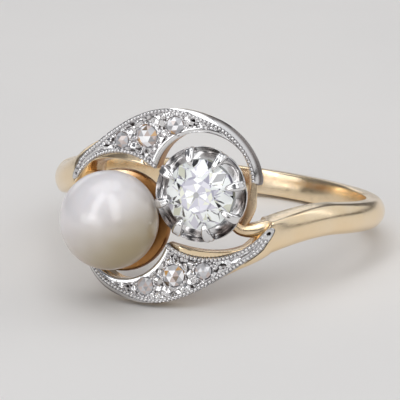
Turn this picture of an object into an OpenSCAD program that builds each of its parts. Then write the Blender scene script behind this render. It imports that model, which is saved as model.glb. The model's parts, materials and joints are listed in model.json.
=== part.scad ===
// Toi et moi ring: a pearl and a diamond side by side on a bypass head.
// The ring is modelled about its finger hole: X along the band, Y along the finger, Z up through the head.
// It is then laid on its side, resting on the back of the band and on the edge of the lower swirl.

/* [Stones] */
// Diameter of the pearl
pearl_d = 6; // [5.4:0.1:6.6]
// Diameter of the old-cut diamond across its girdle
diamond_d = 4.2; // [3.8:0.1:4.6]
// Height of the diamond's crown above its girdle
crown_h = 0.72; // [0.5:0.02:0.9]
// Depth of the diamond's pavilion below its girdle
pavilion_h = 1.85; // [1.5:0.05:2.1]
// Thickness of the diamond's girdle
girdle_t = 0.12; // [0.06:0.02:0.2]
// Width of the diamond's table between opposite corners
table_d = 2.1; // [1.6:0.1:2.6]
// Width of the diamond's open culet
culet_d = 0.4; // [0.2:0.05:0.6]
// Diameter of the largest rose-cut diamond in a swirl
rose_d = 1.3; // [1:0.05:1.5]
// Height of the largest rose-cut diamond above its girdle
rose_h = 0.42; // [0.3:0.02:0.55]

/* [Hoop] */
// Diameter of the finger hole
finger_d = 18; // [15:0.1:21]
// Thickness of the hoop
hoop_t = 1.3; // [1:0.05:1.7]
// Width of the hoop at its back
hoop_w = 1.6; // [1.2:0.05:2.4]
// How far each shoulder stands out beyond its swirl's platinum
shoulder_flare = 0.6; // [0.3:0.05:0.8]
// Height of the rounding across the outside of the hoop
hoop_round = 0.45; // [0.2:0.05:0.7]

/* [Head] */
// Rise of the swirls' top above the hoop's outside
head_rise = 1.1; // [0.8:0.05:1.6]
// Turn of the line through both stones from the line of the band
pair_turn = 23.4; // [15:0.2:32]
// Thickness of the platinum plate on each swirl
plate_t = 0.5; // [0.35:0.05:0.7]
// Depth of the gold rim under each platinum plate
rim_t = 0.85; // [0.6:0.05:1.1]
// Widest showing of the gold rim beyond the plate's concave edge
ledge_w = 0.4; // [0.1:0.05:0.6]
// Diameter of the grains beside the rose-cut diamonds
grain_d = 0.32; // [0.2:0.02:0.4]

/* [Settings] */
// Width of the scooped collar beyond the diamond's girdle
collar_w = 0.78; // [0.5:0.02:1.1]
// Height of the diamond's girdle above the finger hole
girdle_rise = 3.3; // [2.9:0.05:3.8]
// Height of the collet's foot above the finger hole
collet_rise = 0.35; // [0.2:0.05:0.7]
// Wall of the collet at its foot
collet_wall = 0.5; // [0.3:0.05:0.8]
// Number of claws
claws = 8; // [6:1:10]
// Diameter of a claw
claw_d = 0.64; // [0.5:0.02:0.8]
// Height of the pearl's lowest point above the finger hole
pearl_rise = 0.4; // [0.3:0.05:0.8]
// Thickness of the pearl cup under the pearl
cup_t = 0.34; // [0.2:0.02:0.5]
// Height of the cup's edge above its floor
cup_h = 1.5; // [1.2:0.05:1.8]
// Diameter of the peg in the pearl
peg_d = 0.8; // [0.5:0.05:1]
// Length of the peg inside the pearl
peg_l = 3; // [2:0.1:4]

/* [Fit] */
// Gap between neighbouring pieces
gap = 0.03; // [0.02:0.01:0.05]
// Sideways lean with which the ring settles on its side
rest_lean = 3.1; // [0:0.1:5]

/* [Hidden] */

GOLD = "#d9a95c";
PLATINUM = "#c9ccd0";
CREAM = "#efe3d2";
ICE = "#e6f0f4";

finger_r = finger_d / 2;
hoop_r = finger_r + hoop_t;
pearl_r = pearl_d / 2;
diamond_r = diamond_d / 2;
collar_r = diamond_r + collar_w;
// The cup is a little wider than the pearl.
cup_share = 1.02;
cup_r = pearl_r * cup_share;

// The plan of the head follows half the distance between the two stones.
half_pitch = (pearl_r + collar_r + 2 * gap) / 2;
diamond_at = half_pitch * [cos(pair_turn), sin(pair_turn)];
pearl_at = -diamond_at;
// The pearl cup stands a little nearer to the lower swirl than the pearl does.
cup_shift = half_pitch * [0.017, -0.045];
cup_at = pearl_at + cup_shift;

// The swirls' top is a barrel along the finger, a little flatter than the hoop.
barrel_share = 1.02;
barrel_r = hoop_r * barrel_share;
barrel_z = hoop_r + head_rise - barrel_r;

// Heights along the head's axis
pearl_z = finger_r + pearl_rise + pearl_r;
girdle_z = finger_r + girdle_rise;
collet_z = finger_r + collet_rise;
cup_z = finger_r + pearl_rise - cup_t;

// Outer edge of a swirl, seen from above: its distance from the middle of the head at even bearings
// counted from the line of the band, as shares of half_pitch. The first value is the thin end by the stone.
edge_start = 12;
edge_step = 15;
EDGE_REACH = [1.95, 2.07, 2.13, 2.13, 2.06, 1.995, 1.93, 1.87, 1.86, 1.935, 2.14];
edge_end = edge_start + edge_step * (len(EDGE_REACH) - 1);
// Tip of the plate's tail on the shoulder, as bearing and share of half_pitch
TAIL_TIP = [175.5, 2.27];

// The opening round a stone is a circle moved sideways from that stone.
opening_r = half_pitch * 0.99;
opening_shift = half_pitch * 0.26;
opening_bearing = 128;
opening_at = diamond_at + opening_shift * [cos(opening_bearing), sin(opening_bearing)];
// The concave edge of a tail is an arc round the neighbouring stone.
hollow_r = half_pitch * 1.32;

// Rose-cut diamonds along a swirl, from the tail
ROSE_BEARING = 0;
ROSE_REACH = 1;
ROSE_SIZE = 2;
ROSE_ROWS = [
    // bearing, share of half_pitch, share of rose_d
    [131, 1.565, 0.75],
    [108.5, 1.43, 1],
    [86, 1.66, 0.8]
];
ROSE_SIDES = 8;
// Half the angle between two grains beside a rose-cut diamond
GRAIN_SPREAD = 22;

// How far the shoulder's sideways bend and its rise run along the hoop, in degrees
bend_run = 30;
rise_run = 50;
// Share of the tail over which its underside comes down to the finger hole
underside_run = 0.42;
// The hoop is modelled this much too deep and then bored out.
bore_stock = 0.4;

// Sections along a rim, a tail and one half of the hoop, which lie closer together near the shoulder
RIM_STEPS = 14;
TAIL_STEPS = 9;
HOOP_STEPS = 24;
hoop_crowding = 1.3;

// Sides of the round forms, from the largest to the smallest
BORE_SIDES = 180;
BARREL_SIDES = 128;
PEARL_SIDES = 96;
SETTING_SIDES = 64;
SCOOP_SIDES = 32;
CLAW_SIDES = 24;
GRAIN_SIDES = 20;
// Longer than any part of the ring
FAR = 4 * hoop_r;

function clamp01(v) = min(1, max(0, v));
// One at v = 0, easing down to nothing at v = 1
function fade(v) = pow(1 - clamp01(v), 2);
function mix(a, b, v) = a + (b - a) * v;
function polar(bearing, reach) = reach * [cos(bearing), sin(bearing)];
function bearing_of(p) = atan2(p[1], p[0]);
function z_barrel(x, r = barrel_r) = barrel_z + sqrt(r * r - x * x);

// A smooth curve through the evenly spaced values of a list, at place v counted in steps
function smooth_value(list, v) =
    let (
        last = len(list) - 1,
        i = min(last - 1, max(0, floor(v))),
        t = v - i,
        p0 = i == 0 ? 2 * list[0] - list[1] : list[i - 1],
        p1 = list[i],
        p2 = list[i + 1],
        p3 = i == last - 1 ? 2 * list[last] - list[last - 1] : list[i + 2]
    )
    p1 + t * ((p2 - p0) + t * ((2 * p0 - 5 * p1 + 4 * p2 - p3) + t * (3 * p1 - p0 - 3 * p2 + p3))) / 2;

function edge_reach(bearing) =
    half_pitch * smooth_value(EDGE_REACH, (bearing - edge_start) / edge_step);
function edge_point(bearing, grow = 0) = polar(bearing, edge_reach(bearing) + grow);

// The cusp is where the opening and the hollow meet, on the far side from the middle of the head.
cusp = let (
    d = norm(opening_at - pearl_at),
    along = (hollow_r * hollow_r - opening_r * opening_r + d * d) / (2 * d),
    side = sqrt(hollow_r * hollow_r - along * along),
    u = (opening_at - pearl_at) / d
) pearl_at + along * u + side * [-u[1], u[0]];
cusp_opening = bearing_of(cusp - opening_at);
cusp_hollow = bearing_of(cusp - pearl_at);

// A station is a pair of points on the swirls' top: one on the gold's outer edge, one on its inner edge.
tip_opening = -6;
cusp_edge = 110;
tail_edge = 163;
tail_hollow = 160;
// The ledge is widest at one share of the tail and ends at another.
ledge_peak = 0.3;
ledge_end = 0.7;
function ledge(v) = ledge_w * sin(180 * pow(clamp01(v / ledge_end), ln(0.5) / ln(ledge_peak / ledge_end)));
// Unit vector out of the swirl, square to its outer edge
function edge_normal(bearing) =
    let (t = edge_point(bearing - 1) - edge_point(bearing + 1)) [-t[1], t[0]] / norm(t);
function on_barrel(p) = [p[0], p[1], z_barrel(p[0])];
function rim_station(v) = [
    on_barrel(edge_point(mix(edge_start, cusp_edge, v))),
    on_barrel(opening_at + polar(mix(tip_opening, cusp_opening, v), opening_r))
];
function tail_station(v) =
    let (bearing = mix(cusp_edge, tail_edge, v))
    [
        on_barrel(edge_point(bearing) + shoulder_flare * v * v * edge_normal(bearing)),
        on_barrel(pearl_at + polar(mix(cusp_hollow, tail_hollow, v), hollow_r - ledge(v)))
    ];

// The shoulder goes on from the last tail station round the hoop, by its turn from the head.
join = tail_station(1);
join_mid = (join[0] + join[1]) / 2;
join_half = (join[0][1] - join[1][1]) / 2;
join_turn = atan2(-join_mid[0], join_mid[2]);
join_r = norm([join_mid[0], join_mid[2]]);
function hoop_top(turn) = mix(hoop_r, join_r, fade((turn - join_turn) / rise_run));
function hoop_mid(turn) = join_mid[1] * fade((turn - join_turn) / bend_run);
function hoop_half(turn) = mix(hoop_w / 2, join_half, fade((turn - join_turn) / (180 - join_turn)));
function on_hoop(turn, y) = [-hoop_top(turn) * sin(turn), y, hoop_top(turn) * cos(turn)];
function hoop_station(turn) = [
    on_hoop(turn, hoop_mid(turn) + hoop_half(turn)),
    on_hoop(turn, hoop_mid(turn) - hoop_half(turn))
];

// A point moved towards or away from the finger's axis
function radial(p, by) = let (r = norm([p[0], p[2]])) [p[0] * (1 + by / r), p[1], p[2] * (1 + by / r)];
// Seven points round the gold at a station: two walls, a flat underside and a rounded top, which may rise to b
SECTION = 7;
round_in = 0.55;
round_low = 0.28;
function section(station, drop, depth, round_a = 0, round_b = 0, lift_b = 0) =
    let (a = station[0], b = station[1], m = (a + b) / 2)
    [
        radial(a, -drop - depth),
        radial(a, -drop - round_a),
        radial(mix(m, a, round_in), -drop - round_a * round_low + lift_b * (1 - round_in) / 2),
        radial(m, -drop + lift_b / 2),
        radial(mix(m, b, round_in), -drop - round_b * round_low + lift_b * (1 + round_in) / 2),
        radial(b, -drop - round_b + lift_b),
        radial(b, -drop - depth)
    ];
function depth_to_bore(station, drop) =
    let (m = (station[0] + station[1]) / 2) norm([m[0], m[2]]) - drop - finger_r + bore_stock;

// Under the plate the gold lies clear of it. At the tail it rises flush, and thickens down to the finger hole.
// Its ledge beside the plate's concave edge rises to just below the plate's top over the first stretch.
seat_drop = plate_t + 1.6 * gap;
flush_from = 0.6;
leaf_drop = 0.1;
leaf_run = 0.12;
function rim_section(v) = section(rim_station(v), seat_drop, rim_t);
// The gold runs on from each thin end, round the stone to the fork of the other shoulder: its two edges there,
// as shares of half_pitch.
TIE_ROWS = [
    // outer edge, edge towards the stone
    [[1.74, -0.3], [1.6, -0.26]],
    [[1.84, -0.06], [1.68, -0.02]],
    [[1.9, 0.18], [1.72, 0.24]]
];
tie_round = 0.12;
function tie_section(row) =
    let (station = [for (edge = row) on_barrel(edge * half_pitch)])
    section(station, seat_drop, rim_t, tie_round, tie_round);
function tail_section(v) =
    let (
        station = tail_station(v),
        drop = seat_drop * clamp01((1 - v) / (1 - flush_from)),
        solid = depth_to_bore(station, drop)
    )
    section(
        station, drop, mix(rim_t, solid, fade((1 - v) / underside_run)), hoop_round * v * v,
        lift_b = max(0, drop - leaf_drop) * clamp01(v / leaf_run)
    );
function hoop_section(turn) =
    let (station = hoop_station(turn), bent = fade((turn - join_turn) / bend_run))
    section(station, 0, depth_to_bore(station, 0), hoop_round, hoop_round * (1 - bent));

// One half of the gold, from the fork round a stone, along a swirl's rim, tail and shoulder to the hoop's back
half_sections = [
    for (row = TIE_ROWS) tie_section(row),
    for (i = [0 : RIM_STEPS - 1]) rim_section(i / RIM_STEPS),
    for (i = [0 : TAIL_STEPS]) tail_section(i / TAIL_STEPS),
    for (i = [1 : HOOP_STEPS]) hoop_section(mix(join_turn, 180, pow(i / HOOP_STEPS, hoop_crowding)))
];
function half_turned(p) = [-p[0], -p[1], p[2]];
// The other half is the same one turned half round the head's axis, with its section run the same way.
band_sections = concat(
    half_sections,
    [
        for (i = [len(half_sections) - 2 : -1 : 0])
            [for (k = [SECTION - 1 : -1 : 0]) half_turned(half_sections[i][k])]
    ]
);

// A closed tube of quads through a list of sections
module loft(sections) {
    rings = len(sections);
    sides = len(sections[0]);
    polyhedron(
        points = [for (s = sections) each s],
        faces = concat(
            [[for (k = [sides - 1 : -1 : 0]) k]],
            [[for (k = [0 : sides - 1]) (rings - 1) * sides + k]],
            [
                for (i = [0 : rings - 2], k = [0 : sides - 1])
                    let (n = (k + 1) % sides, a = i * sides, b = a + sides)
                        each [[a + k, a + n, b + n], [a + k, b + n, b + k]]
            ]
        )
    );
}

// Flat outline of a plate, grown all round by a margin. At the thin end it stops a little before the gold.
module swirl_outline(grow = 0) {
    tail_tip = polar(TAIL_TIP[0], TAIL_TIP[1] * half_pitch + grow);
    plate_step = 6;
    plate_start = edge_start + plate_step;
    difference() {
        polygon(concat(
            [for (b = [plate_start : plate_step : tail_edge]) edge_point(b, grow)],
            [tail_tip, pearl_at, diamond_at]
        ));
        translate(opening_at)
            circle(r = opening_r - grow, $fn = PEARL_SIDES);
        translate(pearl_at)
            circle(r = hollow_r - grow, $fn = PEARL_SIDES);
    }
}

// What lies between two barrels under the swirls' top
module barrel_shell(top_drop, bottom_drop) {
    translate([0, 0, barrel_z])
        rotate([90, 0, 0])
            difference() {
                cylinder(r = barrel_r - top_drop, h = FAR, center = true, $fn = BARREL_SIDES);
                cylinder(r = barrel_r - bottom_drop, h = 2 * FAR, center = true, $fn = BARREL_SIDES);
            }
}

// The space that a plate takes in the gold below it, and everything above it
module plate_seat() {
    intersection() {
        linear_extrude(height = FAR)
            swirl_outline(gap);
        barrel_shell(-barrel_r / 4, plate_t + gap);
    }
}

module at_rose(row) {
    at = polar(row[ROSE_BEARING], row[ROSE_REACH] * half_pitch);
    lean = asin(at[0] / barrel_r);
    translate([at[0], at[1], z_barrel(at[0])])
        rotate([0, lean, 0])
            children();
}

// Depth of a rose-cut diamond's girdle in its plate
rose_sink = 0.14;
// A grain's middle lies just over half its diameter from the stone.
grain_clear = 0.58;

// Small round grains raised against a rose-cut diamond, side by side across the swirl
module grains(row, side) {
    reach = rose_d * row[ROSE_SIZE] / 2 + gap + grain_d * grain_clear;
    for (turn = [-GRAIN_SPREAD, GRAIN_SPREAD])
        rotate([0, 0, row[ROSE_BEARING] + side + turn])
            translate([reach, 0, 0])
                sphere(d = grain_d, $fn = GRAIN_SIDES);
}

// Platinum plate of a swirl, in the upper one's place. The lower one leaves a round space for the pearl cup.
module swirl_plate(round_cup = false) {
    last_row = ROSE_ROWS[len(ROSE_ROWS) - 1];
    color(PLATINUM) {
        difference() {
            intersection() {
                linear_extrude(height = FAR)
                    swirl_outline();
                barrel_shell(0, plate_t);
            }
            for (row = ROSE_ROWS)
                at_rose(row)
                    translate([0, 0, -rose_sink - gap])
                        cylinder(d = rose_d * row[ROSE_SIZE] + 2 * gap, h = 2 * plate_t, $fn = SETTING_SIDES);
            if (round_cup)
                translate([-cup_at[0], -cup_at[1], 0])
                    cylinder(r = cup_r + gap, h = cup_z + cup_h + gap, $fn = SETTING_SIDES);
        }
        for (row = ROSE_ROWS)
            at_rose(row)
                grains(row, 90);
        at_rose(last_row)
            grains(last_row, -90);
    }
}

// Even corners round a circle
function ring(sides, radius, z, turn = 0) =
    [for (k = [0 : sides - 1]) [each polar(turn + 360 * k / sides, radius), z]];

// A cut stone is the solid that its rings of corners span.
module cut_stone(rings) {
    corners = [for (r = rings) each r];
    hull()
        polyhedron(points = corners, faces = [[for (i = [0 : len(corners) - 1]) i]]);
}

// Rose-cut diamond with a small flat on top
rose_break_r = 0.72;
rose_break_h = 0.68;
rose_table = 0.3;
module rose(row) {
    r = rose_d * row[ROSE_SIZE] / 2;
    h = rose_h * row[ROSE_SIZE];
    half = 180 / ROSE_SIDES;
    color(ICE)
        at_rose(row)
            translate([0, 0, -rose_sink])
                cut_stone([
                    ring(ROSE_SIDES, r, 0),
                    ring(ROSE_SIDES, r, rose_sink),
                    ring(ROSE_SIDES, r * rose_break_r, rose_sink + h * rose_break_h, half),
                    ring(ROSE_SIDES, r * rose_table, rose_sink + h)
                ]);
}

// Corners of the old-cut diamond from its culet up, as radius, height from the girdle and turn.
// The kites lie flat: their side corners are found on the planes of the main facets.
main_facets = 8;
facet_half = 180 / main_facets;
table_r = table_d / 2;
culet_r = culet_d / 2;
star_r = mix(table_r, diamond_r, 0.45);
lower_r = mix(culet_r, diamond_r, 0.42);
crown_slope = (crown_h - girdle_t / 2) / (diamond_r - table_r);
pavilion_slope = (pavilion_h - girdle_t / 2) / (diamond_r - culet_r);
star_z = crown_h - crown_slope * (star_r * cos(facet_half) - table_r);
lower_z = pavilion_slope * (lower_r * cos(facet_half) - culet_r) - pavilion_h;
DIAMOND_RINGS = [
    [culet_r, -pavilion_h, 0],
    [lower_r, lower_z, facet_half],
    [diamond_r, -girdle_t / 2, 0],
    [diamond_r, -girdle_t / 2, facet_half],
    [diamond_r, girdle_t / 2, 0],
    [diamond_r, girdle_t / 2, facet_half],
    [star_r, star_z, facet_half],
    [table_r, crown_h, 0]
];

module diamond() {
    color(ICE)
        translate([diamond_at[0], diamond_at[1], girdle_z])
            cut_stone([for (r = DIAMOND_RINGS) ring(main_facets, r[0], r[1], r[2])]);
}

// The round space that the diamond takes, with a gap all round
module diamond_space() {
    rings = [for (i = [0, 1, 2, 4, 6, 7]) DIAMOND_RINGS[i]];
    rotate_extrude($fn = SETTING_SIDES)
        polygon(concat(
            [[0, -pavilion_h - gap]],
            [for (r = rings) [r[0] + gap, r[1] + (r[1] > 0 ? gap : -gap)]],
            [[0, crown_h + gap]]
        ));
}

// Outside of the collet, as shares of its height and of the collar's radius
COLLET_PROFILE = [
    [0, 0.58],
    [0.3, 0.67],
    [0.6, 0.79],
    [0.8, 0.92],
    [0.9, 1],
    [0.97, 0.98]
];
collet_h = girdle_z - collet_z;
module collet_outside(grow = 0) {
    last = COLLET_PROFILE[len(COLLET_PROFILE) - 1];
    rotate_extrude($fn = SETTING_SIDES)
        polygon(concat(
            [[0, -grow]],
            [for (p = COLLET_PROFILE) [p[1] * collar_r + grow, p[0] * collet_h - (p[0] == 0 ? grow : 0)]],
            [[last[1] * collar_r + grow, last[0] * collet_h + grow], [0, last[0] * collet_h + grow]]
        ));
}

// A claw leans in from the collar's edge over the diamond's crown, and ends in a round tip.
claw_turn = 20;
claw_foot = [collar_r - claw_d * 0.45, -claw_d * 0.55];
claw_tip = [diamond_r * 0.93, crown_h * 0.55];
claw_bead = 1.12;
module claw() {
    reach = claw_tip - claw_foot;
    translate([claw_foot[0], 0, claw_foot[1]])
        rotate([0, atan2(reach[0], reach[1]), 0]) {
            cylinder(d = claw_d, h = norm(reach), $fn = CLAW_SIDES);
            translate([0, 0, norm(reach)])
                sphere(d = claw_d * claw_bead, $fn = CLAW_SIDES);
        }
}

// Tapered collet with a collar scooped out between the claws
scoop_depth = 0.42;
scoop_share = 0.62;
// The seat holds the diamond's pavilion just under the girdle.
seat_share = 0.8;
seat_depth = 0.3;
module diamond_collet() {
    scoop_r = scoop_share * PI * collar_r / claws;
    open_r = collar_r * COLLET_PROFILE[0][1] - collet_wall;
    color(PLATINUM)
        translate([diamond_at[0], diamond_at[1], 0])
            difference() {
                union() {
                    difference() {
                        translate([0, 0, collet_z])
                            collet_outside();
                        for (k = [0 : claws - 1])
                            rotate([0, 0, claw_turn + 360 * (k + 0.5) / claws])
                                translate([(diamond_r + collar_r) / 2, 0, girdle_z + scoop_r - scoop_depth])
                                    sphere(r = scoop_r, $fn = SCOOP_SIDES);
                    }
                    for (k = [0 : claws - 1])
                        rotate([0, 0, claw_turn + 360 * k / claws])
                            translate([0, 0, girdle_z])
                                claw();
                }
                translate([0, 0, girdle_z])
                    diamond_space();
                translate([0, 0, collet_z - gap])
                    cylinder(
                        r1 = open_r,
                        r2 = diamond_r * seat_share,
                        h = collet_h - seat_depth,
                        $fn = SETTING_SIDES
                    );
            }
}

// Pearl, drilled for the peg of its cup
module pearl() {
    color(CREAM)
        translate([pearl_at[0], pearl_at[1], pearl_z])
            difference() {
                sphere(r = pearl_r, $fn = PEARL_SIDES);
                translate([0, 0, -2 * pearl_r])
                    cylinder(d = peg_d + 2 * gap, h = pearl_r + peg_l + gap, $fn = SETTING_SIDES);
            }
}

// Outside of the pearl cup, as shares of its radius and its height
CUP_PROFILE = [
    [0.45, 0],
    [0.8, 0.25],
    [1, 0.6],
    [1, 0.93],
    [0.96, 1]
];
module cup_blank() {
    rotate_extrude($fn = SETTING_SIDES)
        polygon(concat(
            [[0, 0]],
            [for (p = CUP_PROFILE) [p[0] * cup_r, p[1] * cup_h]],
            [[0, cup_h]]
        ));
}

// A fork branches from each shoulder to the setting beside it: its two edges, as shares of half_pitch.
FORK_ROWS = [
    // edge towards the swirl, edge towards the hoop
    [[-2.4, 0.36], [-2.4, 0.04]],
    [[-2.12, 0.39], [-2.12, 0.06]],
    [[-1.85, 0.44], [-1.89, 0.135]],
    [[-1.6, 0.4], [-1.68, 0.17]],
    [[-1.4, 0.24], [-1.54, 0.08]],
    [[-1.18, 0.1], [-1.3, -0.04]]
];
fork_drop = 0.4;
fork_t = 0.8;
module fork(rows) {
    loft([
        for (i = [rows - 1 : -1 : 0])
            let (station = [for (edge = FORK_ROWS[i]) on_barrel(edge * half_pitch)])
                section(station, fork_drop, fork_t, fork_t / 4, fork_t / 4)
    ]);
}

// The gold: hoop, shoulders, rims under both swirls, pearl cup and the two forks
module shank() {
    color(GOLD) {
        difference() {
            union() {
                loft(band_sections);
                translate([cup_at[0], cup_at[1], cup_z])
                    cup_blank();
                fork(len(FORK_ROWS) - 1);
                rotate([0, 0, 180])
                    fork(len(FORK_ROWS));
            }
            rotate([90, 0, 0])
                cylinder(r = finger_r, h = FAR, center = true, $fn = BORE_SIDES);
            translate([pearl_at[0], pearl_at[1], pearl_z])
                sphere(r = pearl_r + gap, $fn = PEARL_SIDES);
            translate([diamond_at[0], diamond_at[1], collet_z])
                collet_outside(gap);
            plate_seat();
            rotate([0, 0, 180])
                plate_seat();
        }
        translate([pearl_at[0], pearl_at[1], cup_z])
            cylinder(d = peg_d, h = cup_t + peg_l, $fn = SETTING_SIDES);
    }
}

// The ring lies on its side: the back of the hoop and the edge of the lower swirl touch the ground.
// Between these two points it settles with a slight lean to one side.
band_points = [for (s = band_sections) each s];
head_points = [for (p = band_points) if (p[2] > 0) p];
back_points = [for (p = band_points) if (p[2] < 0) p];
function laid_point(p, tilt) =
    let (
        y = p[1] * sin(tilt) - p[2] * cos(tilt),
        z = p[1] * cos(tilt) + p[2] * sin(tilt)
    )
    [p[0] * cos(rest_lean) + z * sin(rest_lean), y, z * cos(rest_lean) - p[0] * sin(rest_lean)];
function lowest(points, tilt) = min([for (p = points) laid_point(p, tilt)[2]]);
// Halves the range of tilts until the head and the back of the hoop reach the ground together
function settled(low, high, steps) =
    let (tilt = (low + high) / 2)
    steps == 0 ? tilt
        : lowest(head_points, tilt) < lowest(back_points, tilt) ? settled(tilt, high, steps - 1)
        : settled(low, tilt, steps - 1);
rest_tilt = settled(5, 35, 16);

laid_band = [for (p = band_points) laid_point(p, rest_tilt)];
ground_z = min([for (p = laid_band) p[2]]);
back_y = max([for (p = laid_band) p[1]]);
front_y = laid_point([each pearl_at, pearl_z], rest_tilt)[1] - pearl_r;
middle_x = (min([for (p = laid_band) p[0]]) + max([for (p = laid_band) p[0]])) / 2;

module laid() {
    translate([-middle_x, -(front_y + back_y) / 2, -ground_z])
        rotate([0, rest_lean, 0])
            rotate([90 - rest_tilt, 0, 0])
                children();
}
module lower() {
    rotate([0, 0, 180])
        children();
}

laid() shank();
laid() swirl_plate();  // upper_swirl
laid() lower() swirl_plate(round_cup = true);  // lower_swirl
laid() pearl();
laid() diamond_collet();
laid() diamond();
laid() rose(ROSE_ROWS[0]);  // upper_rose_1
laid() rose(ROSE_ROWS[1]);  // upper_rose_2
laid() rose(ROSE_ROWS[2]);  // upper_rose_3
laid() lower() rose(ROSE_ROWS[0]);  // lower_rose_1
laid() lower() rose(ROSE_ROWS[1]);  // lower_rose_2
laid() lower() rose(ROSE_ROWS[2]);  // lower_rose_3
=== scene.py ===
"""Toi et moi ring, lying on its side: a pearl and an old-cut diamond on a gold bypass head with platinum swirls.

Lengths are millimetres in the ring's own frame: X along the band, Y along the finger, Z up through the head.
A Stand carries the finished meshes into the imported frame, in metres.
"""

import json
import logging
import math
from dataclasses import dataclass
from enum import Enum
from typing import Sequence

import bmesh
import bpy
import numpy as np
from mathutils import Matrix, Vector


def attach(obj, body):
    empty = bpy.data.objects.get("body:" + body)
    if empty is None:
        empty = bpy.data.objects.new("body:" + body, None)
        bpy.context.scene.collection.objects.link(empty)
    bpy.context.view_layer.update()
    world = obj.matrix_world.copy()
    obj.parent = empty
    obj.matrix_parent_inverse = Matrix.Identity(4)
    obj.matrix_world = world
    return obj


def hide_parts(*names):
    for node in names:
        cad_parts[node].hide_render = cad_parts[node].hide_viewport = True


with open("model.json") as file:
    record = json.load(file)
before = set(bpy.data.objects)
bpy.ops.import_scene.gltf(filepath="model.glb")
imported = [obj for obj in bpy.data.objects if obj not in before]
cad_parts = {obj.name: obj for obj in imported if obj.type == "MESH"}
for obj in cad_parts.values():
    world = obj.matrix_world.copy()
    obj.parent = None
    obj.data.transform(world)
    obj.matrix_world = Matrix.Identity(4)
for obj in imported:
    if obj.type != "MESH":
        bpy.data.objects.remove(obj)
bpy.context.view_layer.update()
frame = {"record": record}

MM = 0.001
LOG = logging.getLogger("ring")

Array = np.ndarray
Colour = tuple[float, float, float]

DOWN = np.array([0.0, 0.0, -1.0])
HALF_TURN = Matrix.Rotation(math.pi, 4, "Z")
BATCHES = 40  # parts in which long lists of points are worked through
SAME_PLACE = 1e-5  # corners this near to each other were made in one place, in millimetres
SLIVER = 2e-4  # corners this near to each other are left over from cutting, in millimetres
CROWN_POINTS = 21  # points across the top of a section of the gold
CROWN_POWER = 2.13  # how late that top falls towards its edges
STONE_INDEX = 2.42  # how strongly diamond bends light
TINY = 1e-6  # what counts as nothing
INSIDE = 1e-4  # how far inside a stone light starts, in millimetres
PATH_BASE = 101  # more than the facets of a stone, so that each path of light gets its own number
SOCKET_TYPES = (
    (bpy.types.Material, "NodeSocketMaterial"),
    (bpy.types.Object, "NodeSocketObject"),
    (int, "NodeSocketInt"),
    (float, "NodeSocketFloat"),
)


class Slot(Enum):
    """Material slots of the record."""

    GOLD = "gold"
    PLATINUM = "platinum"
    PEARL = "pearl"
    DIAMOND = "diamond"
    ROSE = "rose_diamond"


class Carve(Enum):
    """Ways in which one solid changes another."""

    ADD = "UNION"
    CUT = "DIFFERENCE"


def polar(bearing: Array | float, reach: Array | float) -> Array:
    """Points in the plan at a bearing in degrees and a reach."""
    angle = np.radians(bearing)
    return np.stack(np.broadcast_arrays(reach * np.cos(angle), reach * np.sin(angle)), -1)


def bearing_of(point: Array) -> float:
    """Bearing in degrees of a point in the plan."""
    return math.degrees(math.atan2(point[1], point[0]))


def fade(v: Array | float) -> Array | float:
    """One at v = 0, easing down to nothing at v = 1."""
    return (1 - np.clip(v, 0, 1)) ** 2


def mix(a: Array | float, b: Array | float, v: Array | float) -> Array | float:
    """What lies between a and b, at share v of the way."""
    return a + (b - a) * v


def smooth_step(v: Array | float) -> Array | float:
    """Eases from nothing at v = 0 to one at v = 1."""
    v = np.clip(v, 0, 1)
    return v * v * (3 - 2 * v)


def smooth_curve(knots: Sequence, at: Array) -> Array:
    """Follows evenly spaced knots with a smooth curve.

    Args:
        knots: Values or points, one for each whole number.
        at: Places along the curve, counted in knots.

    Returns:
        The curve's value at each place.
    """
    k = np.asarray(knots, float)
    k = np.concatenate([[2 * k[0] - k[1]], k, [2 * k[-1] - k[-2]]])
    i = np.clip(np.floor(at).astype(int), 0, len(k) - 4)
    t = np.asarray(at - i, float).reshape((-1,) + (1,) * (k.ndim - 1))
    p0, p1, p2, p3 = k[i], k[i + 1], k[i + 2], k[i + 3]
    return p1 + t * ((p2 - p0) + t * ((2 * p0 - 5 * p1 + 4 * p2 - p3) + t * (3 * p1 - p0 - 3 * p2 + p3))) / 2


@dataclass(frozen=True)
class Stand:
    """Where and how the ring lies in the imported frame.

    Attributes:
        centre: Middle of the finger hole, in metres.
        finger: Direction of the finger hole.
    """

    centre: Vector
    finger: Vector

    @classmethod
    def from_record(cls, record: dict) -> "Stand":
        """Reads the finger hole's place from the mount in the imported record."""
        hole = next(m for m in record["mounts"] if m["name"] == "finger_hole")
        return cls(Vector(hole["pos_m"]), Vector(hole["axis"]).normalized())

    def matrix(self) -> Matrix:
        """The map from the ring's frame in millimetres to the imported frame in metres.

        Returns:
            The matrix.
        """
        along = Vector((self.finger.z, 0, -self.finger.x)).normalized()
        turn = Matrix((along, self.finger, along.cross(self.finger))).transposed()
        return Matrix.Translation(self.centre) @ turn.to_4x4() @ Matrix.Scale(MM, 4)


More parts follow.
